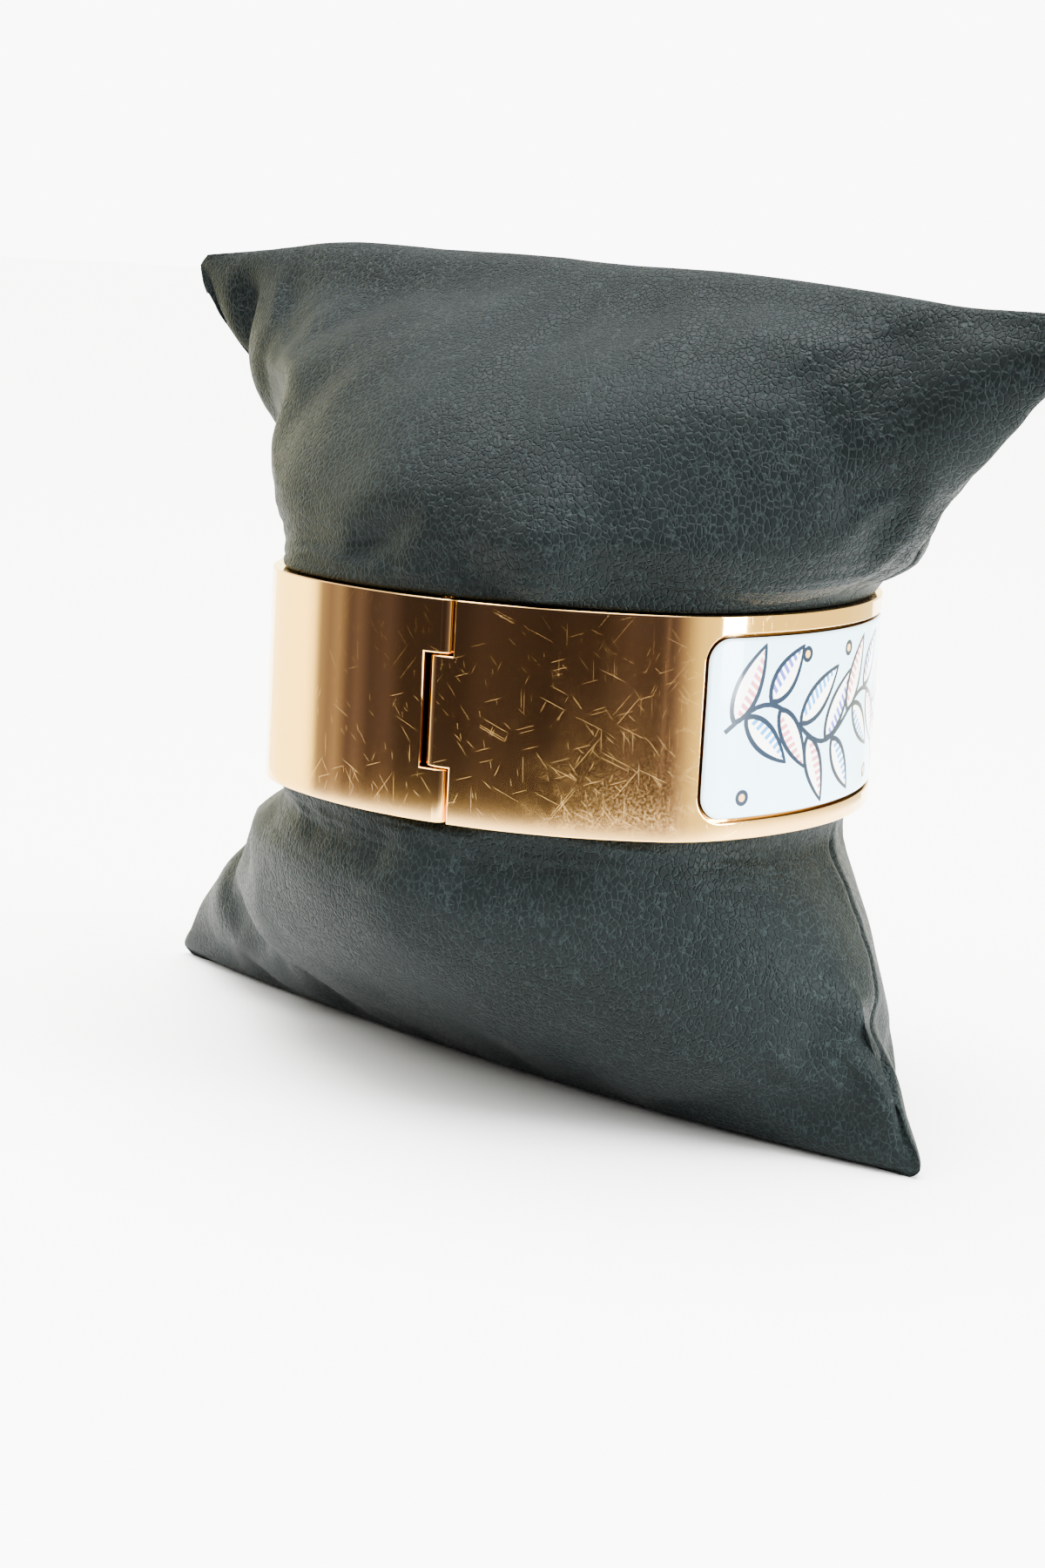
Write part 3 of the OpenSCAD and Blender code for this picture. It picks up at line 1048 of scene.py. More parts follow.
# Right past the band's edges the filling presses the leather out over the metal
overhang = {
    "above": 2.4,
    "below": 1.9,
    "atEnds": 0.4,           # share that is left at the cushion's ends
    "rightEnd": (-0.1, 0.5),   # above the band it is full there too, on the right
    "tall": 2.2,             # how far it reaches up or down
    "tallerRight": 2.2,
    "dip": 0.25,             # share that is missing at the very rim, and how soon it is back
    "dipHeight": 0.25,
}
seam = {
    "depth": 0.4,
    "width": 0.36,
    "lipAway": 1.0,          # distance of the raised lips from the seam
    "lipHeight": 0.16,
    "lipWidth": 1.5,
    "puckerPitch": 3.1,
    "puckerHeight": 0.05,
    "puckerReach": 1.8,
    "puckerSide": (-0.2, 0.4),
    "unevenness": 2.5,       # how far the puckers stray from their pitch, and over what height
    "unevenHeight": 5,
    "pastRim": 3.0,
    "leftWithin": 0.8,       # sine of the directions at the left end that the seam stays within
    "topDepth": 0.35,
    "topWidth": 0.35,
    # Height from the band's middle and place from front to back of the seam at the right end
    "right": [(-37.5, -0.5), (-33.1, -0.2), (-27.3, 2.4), (-19.5, 7.1), (-11.0, 9.5),
              (11.0, 5.0), (20.0, 2.4), (30.0, 0.6), (40.0, 0.0)],
}
# The leather is blown up as cloth over a coarse copy of the shape
filling = {
    "columns": 110,
    "rowStep": 4,             # every fourth row of the fine shape takes part
    "scale": 5.0,             # simulated this much larger than life, where Blender's forces are tuned
    "pressure": 4.0,
    "stiffness": 15.0,
    "bending": 0.5,
    "slack": 0.02,            # share of extra leather, which gathers at the band
    "quality": 6,             # steps that Blender takes in one frame
    "frames": 20,
    "most": 1.3,              # no point moves further than this
    "hold": 0.95,             # how firmly the sewn ridge and the flat ends hold their place
    "ends": (0.72, 0.86),     # where the flat ends begin, as shares of half the width
    "startIn": 0.35,          # the shape between the ends starts this much smaller
    # Heights between which the table, the band and the ridge let go of the leather
    "tableHold": (0.3, 3.0),
    "rimHold": (0.3, 2.5),
    "ridgeHold": (3.5, 0.5),
    # and those between which the moves are carried over to the fine shape
    "tableLoose": (0.2, 3.0),
    "rimLoose": (0.0, 2.0),
}
gathers = {
    "height": 0.15,
    "pitch": 3.6,
    "rise": 1.2,
    "fade": 5.5,
    "spread": 16,            # they are twice as wide this far past the rim
    "stray": 14,             # and hold their line for about this long
    "above": 3.7,            # keeps those above the band unlike those below it
}


def rowAt(rows, level):
    # A smooth curve through the rows, worked out column by column
    last = len(rows) - 1
    i = max(k for k in range(last) if rows[k][0] <= level or k == 0)
    start, stop = rows[i][0], rows[i + 1][0]
    span = stop - start
    share = (level - start) / span
    values = {}
    for column, name in enumerate(rowNames):
        before, after = rows[i][column], rows[i + 1][column]
        slopes = []
        for k in (i, i + 1):
            low, high = max(k - 1, 0), min(k + 1, last)
            slopes.append((rows[high][column] - rows[low][column]) / (rows[high][0] - rows[low][0]))
        values[name] = ((2 * share ** 3 - 3 * share ** 2 + 1) * before
                        + (share ** 3 - 2 * share ** 2 + share) * span * slopes[0]
                        + (3 * share ** 2 - 2 * share ** 3) * after
                        + (share ** 3 - share ** 2) * span * slopes[1])
    return values


def sectionPoint(row, angle):
    # One point of a section, in the cushion's own turned frame
    across, through = math.cos(angle), math.sin(angle)
    reach = row["right"] if across >= 0 else row["left"]
    belly = row["back"] if through >= 0 else row["front"]
    pointed = math.copysign(abs(through) ** max(row["sharp"], 1.0), through)
    free = Vector((reach * cushion["width"] / 2 * across, belly * cushion["depth"] / 2 * pointed, 0))
    held = max(0.0, min(1.0, row["held"]))
    if held == 0:
        return free
    inset = max(band["wall"], 2 * band["knuckleRadius"]) + cushion["seatGap"]
    kept = ovalTowards(math.degrees(angle) + cushion["turn"], inset)
    kept.rotate(Matrix.Rotation(math.radians(-cushion["turn"]), 3, "Z"))
    return free.lerp(kept, held)


def cushionLevels():
    # From the base's middle line up to the ridge: what section is used at which height
    edge = band["height"] / 2 + cushion["rimGap"]
    floor = -oval["middleHeight"]
    below = oval["middleHeight"] - edge
    above = cushion["topHeight"] - edge
    levels = []

    def addLevel(rows, level, height, shrink=1.0, inward=0.0, rise=0.0):
        levels.append({"rows": rows, "level": level, "height": height,
                       "shrink": shrink, "inward": inward, "rise": rise})

    for i in range(cushion["edgeLevels"] + 1):
        addLevel(lowerRows, 1.0, floor, shrink=i / (cushion["edgeLevels"] + 1))
    for i in range(cushion["edgeLevels"]):
        turn = math.pi / 2 * i / cushion["edgeLevels"]
        lift = cushion["baseRound"] * (1 - math.cos(turn))
        addLevel(lowerRows, 1 - lift / below, floor + lift,
                 inward=cushion["baseRound"] * (1 - math.sin(turn)))
    first = 1 - cushion["baseRound"] / below
    for i in range(cushion["lowerLevels"]):
        level = first * (1 - i / cushion["lowerLevels"]) ** cushion["levelEase"]
        addLevel(lowerRows, level, -edge - level * below)
    addLevel(lowerRows, cushion["rimRow"] / below, -edge - cushion["rimRow"])
    for i in range(cushion["heldLevels"]):
        addLevel(upperRows, 0.0, -edge + 2 * edge * i / cushion["heldLevels"])
    final = 1 - cushion["topRound"] / above
    for i in range(cushion["upperLevels"]):
        level = final * (i / cushion["upperLevels"]) ** cushion["levelEase"]
        addLevel(upperRows, level, edge + level * above, rise=1.0)
        if i == 0:
            addLevel(upperRows, cushion["rimRow"] / above, edge + cushion["rimRow"], rise=1.0)
    for i in range(cushion["edgeLevels"] + 1):
        turn = math.pi / 2 * i / cushion["edgeLevels"]
        level = final + cushion["topRound"] * math.sin(turn) / above
        addLevel(upperRows, min(level, 1.0), edge + level * above, shrink=math.cos(turn), rise=1.0)
    return levels


def foldRelief(along, height, through):
    # How far the folds lift or sink the leather at a place along the width and a height
    edge = band["height"] / 2
    total = 0.0
    for fold in folds:
        if (fold["reach"] > 0) != (height > 0) or abs(height) < edge:
            continue
        share = (abs(height) - edge) / (abs(fold["reach"]) - edge)
        if share > foldShape["fall"][1]:
            continue
        line = fold["edge"] + (fold["far"] - fold["edge"]) * share
        width = fold["wide"] * (1 + foldShape["widening"] * share)
        fade = smoothStep(*foldShape["rise"], share) * (1 - smoothStep(*foldShape["fall"], share))
        side = smoothStep(*foldSide, through * fold["side"])
        total += fold["out"] * fade * side * bell(along - line, width)
    return total


def gatherRelief(angle, height):
    # Small gathers that fan out from the band's edge
    past = abs(height) - band["height"] / 2
    if past <= 0:
        return 0.0
    spread = 1 + past / gathers["spread"]
    ripple = noise.noise(Vector((
        angle * cushion["depth"] / 2 / gathers["pitch"] / spread,
        math.copysign(gathers["above"], height),
        math.sin(angle) + past / gathers["stray"],
    )))
    fade = smoothStep(0.0, gathers["rise"], past) * math.exp(-past / gathers["fade"])
    return 2 * gathers["height"] * ripple * fade


def lumpRelief(along, height, through):
    total = 0.0
    for lump in lumps:
        side = smoothStep(*lumpSide, through * lump["side"])
        swell = bell(along - lump["along"], lump["wide"]) * bell(height - lump["height"], lump["tall"])
        total += lump["out"] * side * swell
    return total


def rimBulge(angle, height):
    # How far the leather stands out over the band's rim
    edge = band["height"] / 2 + cushion["rimGap"]
    past = abs(height) - edge
    if past <= 0:
        return 0.0
    most = overhang["above"] if height > 0 else overhang["below"]
    right = smoothStep(*overhang["rightEnd"], math.cos(angle)) if height > 0 else 0.0
    reach = overhang["atEnds"] + (1 - overhang["atEnds"]) * max(abs(math.sin(angle)), right)
    dip = 1 - overhang["dip"] * math.exp(-past / overhang["dipHeight"])
    return most * reach * dip * bell(past, overhang["tall"] + overhang["tallerRight"] * right)


def seamRelief(point, angle, height):
    # The sewn joins of the front and back panels at the two ends
    if abs(height) < band["height"] / 2 + cushion["rimGap"]:
        return 0.0
    line = 0.0
    if math.cos(angle) > 0:
        run = seam["right"]
        i = min(max(k for k in range(len(run)) if run[k][0] <= height or k == 0), len(run) - 2)
        share = (height - run[i][0]) / (run[i + 1][0] - run[i][0])
        line = run[i][1] + (run[i + 1][1] - run[i][1]) * min(1.0, max(0.0, share))
    elif abs(math.sin(angle)) > seam["leftWithin"]:
        return 0.0
    away = abs(point.y - line)
    groove = seam["depth"] * bell(away, seam["width"])
    lip = seam["lipHeight"] * bell(away - seam["lipAway"], seam["lipWidth"])
    stray = seam["unevenness"] * noise.noise(Vector((0, 0, height / seam["unevenHeight"])))
    pucker = math.cos(2 * math.pi * height / seam["puckerPitch"] + stray)
    pucker *= seam["puckerHeight"] * bell(away, seam["puckerReach"])
    pucker *= smoothStep(*seam["puckerSide"], math.cos(angle))
    return (lip + pucker - groove) * smoothStep(0.0, seam["pastRim"], abs(height) - band["height"] / 2)


def basePoint(level, row, angle):
    # One point of the smooth shape, in the cushion's own turned frame
    point = sectionPoint(row, angle)
    inward = level["inward"]
    if level["height"] == -oval["middleHeight"]:    # the flat underside
        inward += cushion["baseRound"]
    point.y -= math.copysign(min(inward, abs(point.y)), point.y)
    point.x -= math.copysign(min(inward * cushion["baseRoundEnds"], abs(point.x)), point.x)
    point.y *= level["shrink"]
    share = 2 * point.x / cushion["width"]
    rise = level["rise"] * level["level"] ** 3
    waves = sum(lift * bell(point.x - at, wide) for at, lift, wide in cushion["ridgeWaves"])
    arch = cushion["seamArch"] * (1 - share ** 2) - cushion["seamFall"] / 2 * share
    point.z = level["height"] + rise * (arch + waves)
    return point


def splineWeights(share):
    # How much the four nearest places count in a smooth curve between the middle two
    return ((1 - share) ** 3 / 6, (3 * share ** 3 - 6 * share ** 2 + 4) / 6,
            (-3 * share ** 3 + 3 * share ** 2 + 3 * share + 1) / 6, share ** 3 / 6)


def faceOutward(bm):
    # Recalculating alone can turn this shape inside out, so its volume decides
    bmesh.ops.recalc_face_normals(bm, faces=bm.faces)
    if bm.calc_volume(signed=True) < 0:
        bmesh.ops.reverse_faces(bm, faces=bm.faces)
    bm.normal_update()


def endShare(along):
    # 0 over the cushion's belly and 1 at its flat ends
    return smoothStep(*filling["ends"], abs(along) / (cushion["width"] / 2))


def filledMoves(levels, rowsAt):
    # A cloth simulation of the leather with the filling's pressure inside it, held by the
    # band and the table. Returns how far each point of the fine shape moves.
    columns, rows = filling["columns"], list(range(0, len(levels), filling["rowStep"]))
    if rows[-1] != len(levels) - 1:
        rows.append(len(levels) - 1)
    size = filling["scale"] * mm
    bm = bmesh.new()
    bmesh.ops.create_grid(bm, x_segments=columns, y_segments=len(rows) - 1, size=1)
    start = [[None] * columns for _ in rows]
    for vert in bm.verts:
        column = round((vert.co.x + 1) / 2 * columns) % columns
        line = round((vert.co.y + 1) / 2 * (len(rows) - 1))
        number = rows[line]
        vert.co = basePoint(levels[number], rowsAt[number], 2 * math.pi * column / columns) * size
        start[line][column] = vert.co.copy()
    bmesh.ops.remove_doubles(bm, verts=bm.verts, dist=1e-3 * size)
    faceOutward(bm)
    skin = objectFrom(bm, "cushion_filling", [])
    edge = band["height"] / 2 + cushion["rimGap"]
    held = skin.vertex_groups.new(name="held")
    ridgeFrom, ridgeTo = [cushion["topHeight"] - below for below in filling["ridgeHold"]]
    for vert in skin.data.vertices:
        height = vert.co.z / size
        onTable = 1 - smoothStep(*filling["tableHold"], height + oval["middleHeight"])
        inBand = 1 - smoothStep(*filling["rimHold"], abs(height) - edge)
        atRidge = smoothStep(ridgeFrom, ridgeTo, height)
        sewn = filling["hold"] * max(atRidge, endShare(vert.co.x / size))
        held.add([vert.index], max(onTable, inBand, sewn), "REPLACE")
    cloth = skin.modifiers.new("cushion_filling", "CLOTH")
    cloth.collision_settings.use_collision = False
    cloth.settings.quality = filling["quality"]
    cloth.settings.tension_stiffness = filling["stiffness"]
    cloth.settings.compression_stiffness = filling["stiffness"]
    cloth.settings.bending_stiffness = filling["bending"]
    cloth.settings.use_pressure = True
    cloth.settings.uniform_pressure_force = filling["pressure"]
    cloth.settings.shrink_min = -filling["slack"]
    cloth.settings.vertex_group_mass = "held"
    cloth.settings.effector_weights.gravity = 0
    cloth.point_cache.frame_end = filling["frames"]
    for number in range(1, filling["frames"] + 1):
        bpy.context.scene.frame_set(number)
    filled = skin.evaluated_get(bpy.context.evaluated_depsgraph_get()).data
    tree = kdtree.KDTree(len(skin.data.vertices))
    for vert in skin.data.vertices:
        tree.insert(vert.co, vert.index)
    tree.balance()
    moves = []
    for line in start:
        moves.append([])
        for place in line:
            index = tree.find(place)[1]
            move = (filled.vertices[index].co - skin.data.vertices[index].co) / size
            moves[-1].append(move * min(1.0, filling["most"] / max(move.length, 1e-6)))    # capped
    mesh = skin.data
    bpy.data.objects.remove(skin)
    bpy.data.meshes.remove(mesh)
    bpy.context.scene.frame_set(1)
    # The coarse moves become smooth curves round each row, and then from row to row
    wide = []
    for line in moves:
        wide.append([])
        for column in range(cushion["columns"]):
            at = column / cushion["columns"] * columns
            weights = splineWeights(at - int(at))
            beside = [line[(int(at) + k) % columns] for k in (-1, 0, 1, 2)]
            wide[-1].append(sum((move * weight for move, weight in zip(beside, weights)), Vector()))
    fine = []
    for number in range(len(levels)):
        at = min(number / filling["rowStep"], len(rows) - 1.001)    # just short of the last row
        weights = splineWeights(at - int(at))
        beside = [wide[min(max(int(at) + k, 0), len(rows) - 1)] for k in (-1, 0, 1, 2)]
        fine.append([sum((line[column] * weight for line, weight in zip(beside, weights)), Vector())
                     for column in range(cushion["columns"])])
    return fine


def cushionPiece():
    levels = cushionLevels()
    rowsAt = [rowAt(level["rows"], level["level"]) for level in levels]
    filled = filledMoves(levels, rowsAt)
    columns = cushion["columns"]
    edge = band["height"] / 2 + cushion["rimGap"]
    floor = -oval["middleHeight"]
    ridgeFrom, ridgeTo = [cushion["topHeight"] - below for below in cushion["belowRidge"]]
    bm = bmesh.new()
    bmesh.ops.create_grid(bm, x_segments=columns, y_segments=len(levels) - 1, size=1)
    place = {}
    for vert in bm.verts:
        column = round((vert.co.x + 1) / 2 * columns)
        number = round((vert.co.y + 1) / 2 * (len(levels) - 1))
        level, row = levels[number], rowsAt[number]
        angle = 2 * math.pi * (column % columns) / columns
        point = basePoint(level, row, angle)
        if number >= len(levels) - cushion["edgeLevels"] - 1:
            point.z -= seam["topDepth"] * bell(point.y, seam["topWidth"])
        loose = smoothStep(*filling["rimLoose"], abs(level["height"]) - edge)
        loose *= smoothStep(*filling["tableLoose"], level["height"] - floor)
        vert.co = point + filled[number][column % columns] * loose
        place[vert] = (angle, level["height"], point.x)
    bmesh.ops.remove_doubles(bm, verts=bm.verts, dist=near)
    faceOutward(bm)
    moves = []
    for vert in bm.verts:
        angle, height, along = place[vert]
        through = math.sin(angle)
        drawn = foldRelief(along, height, through) + gatherRelief(angle, height)
        drawn += seamRelief(vert.co, angle, height)
        soft = lumpRelief(along, height, through) - filling["startIn"] * (1 - endShare(along))
        soft += sum(noise.noise(vert.co / size + Vector(shift)) * lift for size, lift, shift in swells)
        move = drawn + soft * smoothStep(0.0, cushion["pastRim"], abs(height) - edge)
        move *= smoothStep(0.0, cushion["aboveTable"], height - floor)
        move *= 1 - smoothStep(ridgeFrom, ridgeTo, height)
        level = Vector((vert.normal.x, vert.normal.y, 0))
        moves.append(vert.normal * move)
        if level.length > 0.2:    # the bulge goes straight out, apart from the flat faces
            moves[-1] += level.normalized() * rimBulge(angle, height)
    for vert, move in zip(bm.verts, moves):
        vert.co += move
        height = place[vert][1]
        if abs(height) > edge - 1e-6:    # the leather stays off the metal's rims
            vert.co.z = math.copysign(max(abs(vert.co.z), edge), height)
    turn = Matrix.Rotation(math.radians(cushion["turn"]), 4, "Z")
    lift = Matrix.Translation((0, 0, oval["middleHeight"]))
    bmesh.ops.transform(bm, verts=bm.verts, matrix=lift @ turn)
    bmesh.ops.scale(bm, verts=bm.verts, vec=(mm, mm, mm))
    for face in bm.faces:
        face.smooth = True
    return objectFrom(bm, "display_cushion_leatherette", [leatherMaterial()])


leather = {
    "colour": "#191E1E",
    # painted highlight colour of the grain's creases
    "creaseHighlightColour": "#2B3333",
    "roughness": 0.46,
    "creaseRoughness": 0.6,
    "pebble": 0.52,          # half to two thirds of the width of one embossed grain
    "pebbleStretch": 1.5,    # how much longer than wide a grain is
    "pebbleBend": 0.9,       # how far its outline strays, as a share of its size
    "creaseWidth": 0.16,
    "depth": 0.14,
    "stampPatch": 14,        # size of the patches that are stamped deeper or less deep
    "fineShare": 3,          # fine grains across one pebble
    "fineDepth": 0.12,       # as a share of the grain's depth
    "wrinkle": 1.5,          # spacing of the fine upright wrinkles
    "wrinkleStretch": 4.0,
    "wrinkleBend": 0.8,
    "wrinkleWidth": 0.13,
    "wrinkleDepth": 0.4,     # as a share of the grain's depth
    "wrinklePatch": 9,
    "shadePatch": 22,        # size of the lighter and darker patches of the coat
    "shadeShare": 0.15,
}


def leatherMaterial():
    # Black coated leatherette: embossed pebble grain, satin coat, greyish in the light
    material, tree = newMaterial("embossed_black_leatherette")
    place = addNode(tree, "TexCoord").outputs["Object"]
    wander = addNode(tree, "TexNoise", inputs={
        "Vector": place,
        "Scale": 0.5 / (leather["pebble"] * mm),
        "Detail": 2.0,
    })
    shift = addNode(tree, "VectorMath", {"operation": "SCALE"}, {
        0: wander.outputs["Color"],
        "Scale": leather["pebbleBend"] * leather["pebble"] * mm,
    })
    bent = addNode(tree, "VectorMath", {"operation": "ADD"}, {0: place, 1: shift.outputs[0]})
    stretched = addNode(tree, "Mapping", inputs={
        "Vector": bent.outputs[0],
        "Scale": (1, 1, 1 / leather["pebbleStretch"]),
    })
    grain = addNode(tree, "TexVoronoi", {"feature": "DISTANCE_TO_EDGE"}, {
        "Vector": stretched.outputs[0],
        "Scale": 1 / (leather["pebble"] * mm),
    })
    crease = addNode(tree, "MapRange", {"interpolation_type": "SMOOTHSTEP"}, {
        "Value": grain.outputs["Distance"],
        "From Max": leather["creaseWidth"],
    })
    # The embossing is deeper in some places than in others
    stamped = addNode(tree, "TexNoise", inputs={
        "Vector": place,
        "Scale": 1 / (leather["stampPatch"] * mm),
        "Detail": 2.0,
    })
    deep = addNode(tree, "MapRange", inputs={
        "Value": stamped.outputs[0],
        "From Min": 0.35,
        "From Max": 0.65,
        "To Min": 0.35,
        "To Max": 1.0,
    })
    pressed = addNode(tree, "Math", {"operation": "MULTIPLY"}, {
        0: crease.outputs[0],
        1: deep.outputs[0],
    })
    fine = addNode(tree, "TexNoise", inputs={
        "Vector": place,
        "Scale": leather["fineShare"] / (leather["pebble"] * mm),
        "Detail": 3.0,
    })
    # Fine upright wrinkles where the leather is drawn towards the band, in some places only
    swayed = addNode(tree, "VectorMath", {"operation": "SCALE"}, {
        0: wander.outputs["Color"],
        "Scale": leather["wrinkleBend"] * leather["wrinkle"] * mm,
    })
    drawn = addNode(tree, "VectorMath", {"operation": "ADD"}, {0: place, 1: swayed.outputs[0]})
    upright = addNode(tree, "Mapping", inputs={
        "Vector": drawn.outputs[0],
        "Scale": (1, 1, 1 / leather["wrinkleStretch"]),
    })
    wrinkles = addNode(tree, "TexVoronoi", {"feature": "DISTANCE_TO_EDGE"}, {
        "Vector": upright.outputs[0],
        "Scale": 1 / (leather["wrinkle"] * mm),
    })
    groove = addNode(tree, "MapRange", {"interpolation_type": "SMOOTHSTEP"}, {
        "Value": wrinkles.outputs["Distance"],
        "From Max": leather["wrinkleWidth"],
    })
    patches = addNode(tree, "TexNoise", inputs={
        "Vector": place,
        "Scale": 1 / (leather["wrinklePatch"] * mm),
        "Detail": 1.0,
    })
    somewhere = addNode(tree, "MapRange", {"interpolation_type": "SMOOTHSTEP"}, {
        "Value": patches.outputs[0],
        "From Min": 0.42,
        "From Max": 0.62,
        "To Max": leather["wrinkleDepth"],
    })
    drawnIn = addNode(tree, "Math", {"operation": "MULTIPLY_ADD"}, {
        0: groove.outputs[0],
        1: somewhere.outputs[0],
        2: pressed.outputs[0],
    })
    height = addNode(tree, "Math", {"operation": "MULTIPLY_ADD"}, {
        0: fine.outputs[0],
        1: leather["fineDepth"],
        2: drawnIn.outputs[0],
    })
    relief = addNode(tree, "Bump", inputs={
        "Height": height.outputs[0],
        "Strength": 1.0,
        "Distance": leather["depth"] * mm,
    })
    cloud = addNode(tree, "TexNoise", inputs={
        "Vector": place,
        "Scale": 1 / (leather["shadePatch"] * mm),
        "Detail": 3.0,
    })
    shade = addNode(tree, "MapRange", inputs={
        "Value": cloud.outputs[0],
        "To Min": 1 - leather["shadeShare"],
        "To Max": 1 + leather["shadeShare"],
    })
    body = addNode(tree, "HueSaturation", inputs={
        "Color": linearColour(leather["colour"]),
        "Value": shade.outputs[0],
    })
    # Painted highlight: the creases are painted lighter, as light caught in them, in some places more
    # than others
    caught = addNode(tree, "MapRange", inputs={
        "Value": fine.outputs[0],
        "From Min": 0.35,
        "From Max": 0.65,
    })
    creaseLine = addNode(tree, "Math", {"operation": "SUBTRACT"}, {0: 1.0, 1: crease.outputs[0]})
    lit = addNode(tree, "Math", {"operation": "MULTIPLY"}, {0: creaseLine.outputs[0], 1: caught.outputs[0]})
    colour = addNode(tree, "Mix", {"data_type": "RGBA"}, {
        "Factor": lit.outputs[0],
        6: body.outputs[0],
        7: linearColour(leather["creaseHighlightColour"]),
    })
    rough = addNode(tree, "MapRange", inputs={
        "Value": height.outputs[0],
        "To Min": leather["creaseRoughness"],
        "To Max": leather["roughness"],
    })
    coated = addNode(tree, "BsdfPrincipled", inputs={
        "Base Color": colour.outputs[2],
        "Roughness": rough.outputs[0],
        "IOR": 1.38,
        "Specular IOR Level": 0.14,
        "Sheen Weight": 0.02,
        "Sheen Roughness": 0.4,
        "Normal": relief.outputs[0],
    })
    addNode(tree, "OutputMaterial", inputs={"Surface": coated.outputs[0]})
    return material


pillow = cushionPiece()
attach(pillow, "back_half")
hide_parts("display_cushion")
print("cushion:", len(pillow.data.polygons), "faces")


# Camera, floor and lights

# Angles in degrees, distance in millimetres from the band's middle
view = {
    "distance": 259.4,
    "azimuth": -64.38,
    "elevation": 8.36,
    "yaw": -1.01,
    "pitch": 2.35,
    "roll": -3.17,
    "focalPixels": 3064,
    "photoHeight": 1800,
    "sensor": 36.0,
    "clipStart": 0.01,
}


def addCamera():
    azimuth, elevation = math.radians(view["azimuth"]), math.radians(view["elevation"])
    back = Vector((math.sin(azimuth) * math.cos(elevation), -math.cos(azimuth) * math.cos(elevation),
                   math.sin(elevation)))
    right = Vector((math.cos(azimuth), math.sin(azimuth), 0))
    up = back.cross(right)
    turn = Matrix.Rotation(math.radians(view["roll"]), 3, "Z")
    turn = turn @ Matrix.Rotation(math.radians(view["pitch"]), 3, "X")
    turn = turn @ Matrix.Rotation(math.radians(view["yaw"]), 3, "Y") @ Matrix((right, up, back))
    camera = bpy.data.objects.new("camera", bpy.data.cameras.new("camera"))
    camera.data.sensor_width = view["sensor"]
    camera.data.lens = view["focalPixels"] / view["photoHeight"] * view["sensor"]
    camera.data.clip_start = view["clipStart"]
    place = back * view["distance"] + Vector((0, 0, oval["middleHeight"]))
    camera.matrix_world = Matrix.Translation(place * mm) @ turn.transposed().to_4x4()
    bpy.context.scene.collection.objects.link(camera)
    bpy.context.scene.camera = camera


stage = {
    "floorColour": "#F8F8F6",
    "floorNear": 0.172,       # radius of the floor's rounded near edge, in metres
    "floorFar": 40.0,         # how far it runs behind the cushion, in metres
    "floorBehind": -0.8,      # cosine of the angle from the camera's side where that part begins
    "floorPatch": 16.667,     # size of the card's faintly uneven patches
    "viewWhite": 5.0,
    "ceiling": 1.4,
    "ceilingFrom": (0.24, 0.42),    # sine of the height where the walls end and where it is full
    "overhead": 15.0,         # a wide soft light straight above, which mostly lights the floor
    "overheadFrom": (0.80, 0.92),
    "roomLevel": 4.0,
    "roomMiddle": 205.6,      # direction that the room's walls are counted from
    # Degrees round the room and the wall's brightness there, as a share of roomLevel.
    # The gold mirrors it, so its dark and light bands are what makes the metal look polished.
    "walls": [
        (-180, 1.0), (-109, 1.0), (-105, 0.7), (-102, 0.16), (-97, 0.11), (-93, 0.14), (-88, 0.05),
        (-84, 0.07), (-79, 0.036), (-72, 0.044), (-66, 0.022), (-46, 0.020), (-40, 0.028),
        (-33, 0.025), (-20, 0.019), (-11, 0.022), (-4, 0.021), (5, 0.039), (14, 0.033),
        (17, 0.075), (19, 0.042), (24, 0.07), (31, 0.15), (43, 0.36), (60, 0.44), (125, 0.42),
        (150, 0.46), (166, 0.8), (180, 1.0),
    ],
    "darkTint": "#EADCFF",
    "brightTint": "#FFFACC",
    "tintFrom": (0.02, 0.3),    # wall brightness between which one tint turns to the other
}
# Area lights: place and size in metres, power in watts
lamps = {
    "key_left": {"place": (-0.58, 0.38, 0.68), "size": (0.5, 0.5), "power": 4, "colour": "#FFFFFF"},
    "soft_right": {"place": (0.02, -0.72, 0.13), "size": (0.22, 0.4), "power": 13, "colour": "#F4F9FF"},
}


def addFloor():
    towards = outward(math.degrees(math.atan2(-math.cos(math.radians(view["azimuth"])),
                                              math.sin(math.radians(view["azimuth"])))))
    bm = bmesh.new()
    bmesh.ops.create_circle(bm, cap_ends=True, segments=128, radius=stage["floorNear"])
    for vert in bm.verts:
        if vert.co.normalized().dot(towards) < stage["floorBehind"]:
            vert.co = vert.co.normalized() * stage["floorFar"]
    # Matt white card: evenly bright, without any shine
    material, tree = newMaterial("matt_white_card")
    place = addNode(tree, "TexCoord").outputs["Object"]
    patches = addNode(tree, "TexNoise", inputs={
        "Vector": place,
        "Scale": 1 / (stage["floorPatch"] * mm),
        "Detail": 2.0,
    })
    tone = addNode(tree, "MapRange", inputs={
        "Value": patches.outputs[0],
        "To Min": 0.99,
        "To Max": 1.01,
    })
    paint = addNode(tree, "HueSaturation", inputs={
        "Color": linearColour(stage["floorColour"]),
        "Value": tone.outputs[0],
    })
    matt = addNode(tree, "BsdfPrincipled", inputs={"Base Color": paint.outputs[0], "Roughness": 0.9})
    addNode(tree, "OutputMaterial", inputs={"Surface": matt.outputs[0]})
    floor = objectFrom(bm, "floor", [material])


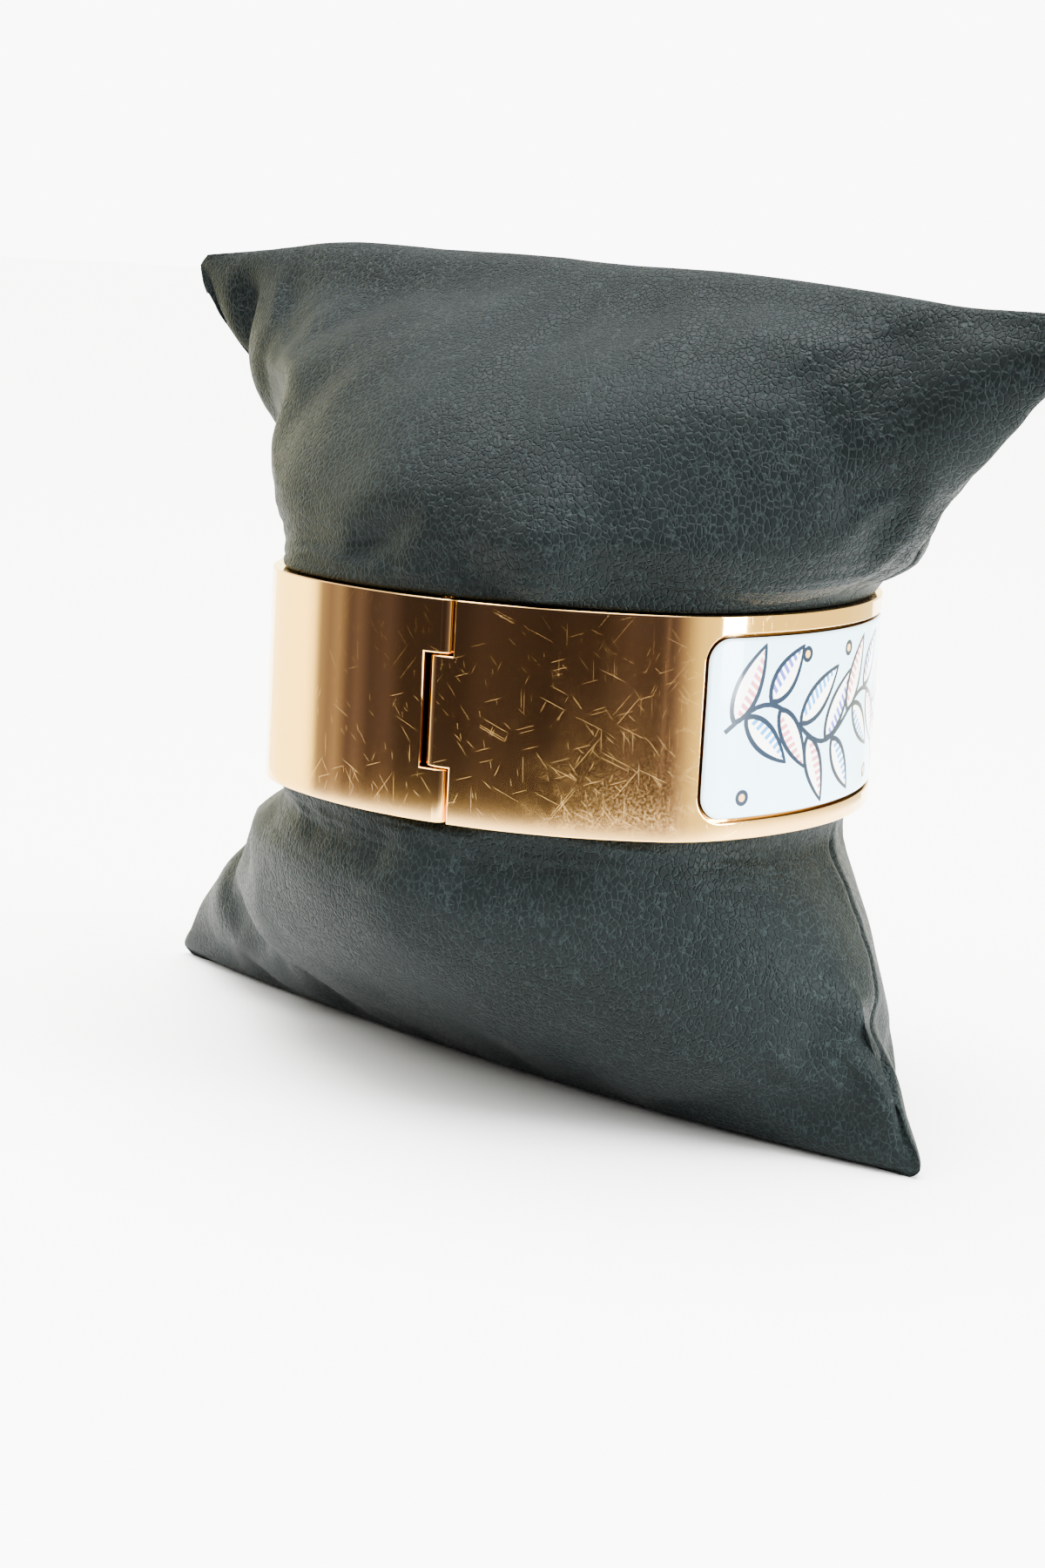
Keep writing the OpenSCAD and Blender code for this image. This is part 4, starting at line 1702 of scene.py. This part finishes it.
def addRoom():
    # A bright room all round, apart from a dim side with a softly lit ceiling above
    world = bpy.data.worlds.new("soft_room")
    bpy.context.scene.world = world
    world.use_nodes = True
    tree = world.node_tree
    tree.nodes.clear()
    direction = addNode(tree, "TexCoord").outputs["Generated"]
    apart = addNode(tree, "SeparateXYZ", inputs={"Vector": direction})
    around = addNode(tree, "Math", {"operation": "ARCTAN2"}, {
        0: apart.outputs["Y"],
        1: apart.outputs["X"],
    })
    turned = addNode(tree, "Math", {"operation": "MULTIPLY_ADD"}, {
        0: around.outputs[0],
        1: 0.5 / math.pi,
        2: 1.5 - stage["roomMiddle"] / 360,
    })
    place = addNode(tree, "Math", {"operation": "FRACT"}, {0: turned.outputs[0]})
    ramp = addNode(tree, "ValToRGB", inputs={0: place.outputs[0]})
    stops = ramp.color_ramp.elements
    dark, bright = linearColour(stage["darkTint"]), linearColour(stage["brightTint"])
    for number, (angle, level) in enumerate(stage["walls"]):
        last = number == len(stage["walls"]) - 1
        stop = stops[0] if number == 0 else stops[-1] if last else stops.new(0.5 + angle / 360)
        lit = smoothStep(*stage["tintFrom"], level)
        stop.color = [level * (d + (b - d) * lit) for d, b in zip(dark[:3], bright[:3])] + [1.0]
    walls = addNode(tree, "Mix", {"data_type": "RGBA", "blend_type": "MULTIPLY"}, {
        "Factor": 1.0,
        6: ramp.outputs[0],
        7: grey(stage["roomLevel"]),
    })
    above = addNode(tree, "MapRange", {"interpolation_type": "SMOOTHSTEP"}, {
        "Value": apart.outputs["Z"],
        "From Min": stage["ceilingFrom"][0],
        "From Max": stage["ceilingFrom"][1],
    })
    soft = addNode(tree, "Mix", {"data_type": "RGBA"}, {
        "Factor": above.outputs[0],
        6: walls.outputs[2],
        7: grey(stage["ceiling"]),
    })
    zenith = addNode(tree, "MapRange", {"interpolation_type": "SMOOTHSTEP"}, {
        "Value": apart.outputs["Z"],
        "From Min": stage["overheadFrom"][0],
        "From Max": stage["overheadFrom"][1],
    })
    colour = addNode(tree, "Mix", {"data_type": "RGBA"}, {
        "Factor": zenith.outputs[0],
        6: soft.outputs[2],
        7: grey(stage["overhead"]),
    })
    seen = addNode(tree, "LightPath")
    shown = addNode(tree, "Mix", {"data_type": "RGBA"}, {
        "Factor": seen.outputs["Is Camera Ray"],
        6: colour.outputs[2],
        7: grey(stage["viewWhite"]),
    })
    background = addNode(tree, "Background", inputs={"Color": shown.outputs[2]})
    addNode(tree, "OutputWorld", inputs={"Surface": background.outputs[0]})


def addLamps():
    # Both look at the middle of the band
    aim = Vector((0, 0, oval["middleHeight"] * mm))
    for name, lamp in lamps.items():
        light = bpy.data.lights.new(name, "AREA")
        light.shape = "RECTANGLE"
        light.size, light.size_y = lamp["size"]
        light.energy = lamp["power"]
        light.color = linearColour(lamp["colour"])[:3]
        holder = bpy.data.objects.new(name, light)
        holder.location = lamp["place"]
        holder.rotation_euler = (aim - Vector(lamp["place"])).to_track_quat("-Z", "Y").to_euler()
        bpy.context.scene.collection.objects.link(holder)


addCamera()
addFloor()
addRoom()
addLamps()
bpy.context.scene.view_settings.look = "AgX - Medium High Contrast"
print("stage ready")
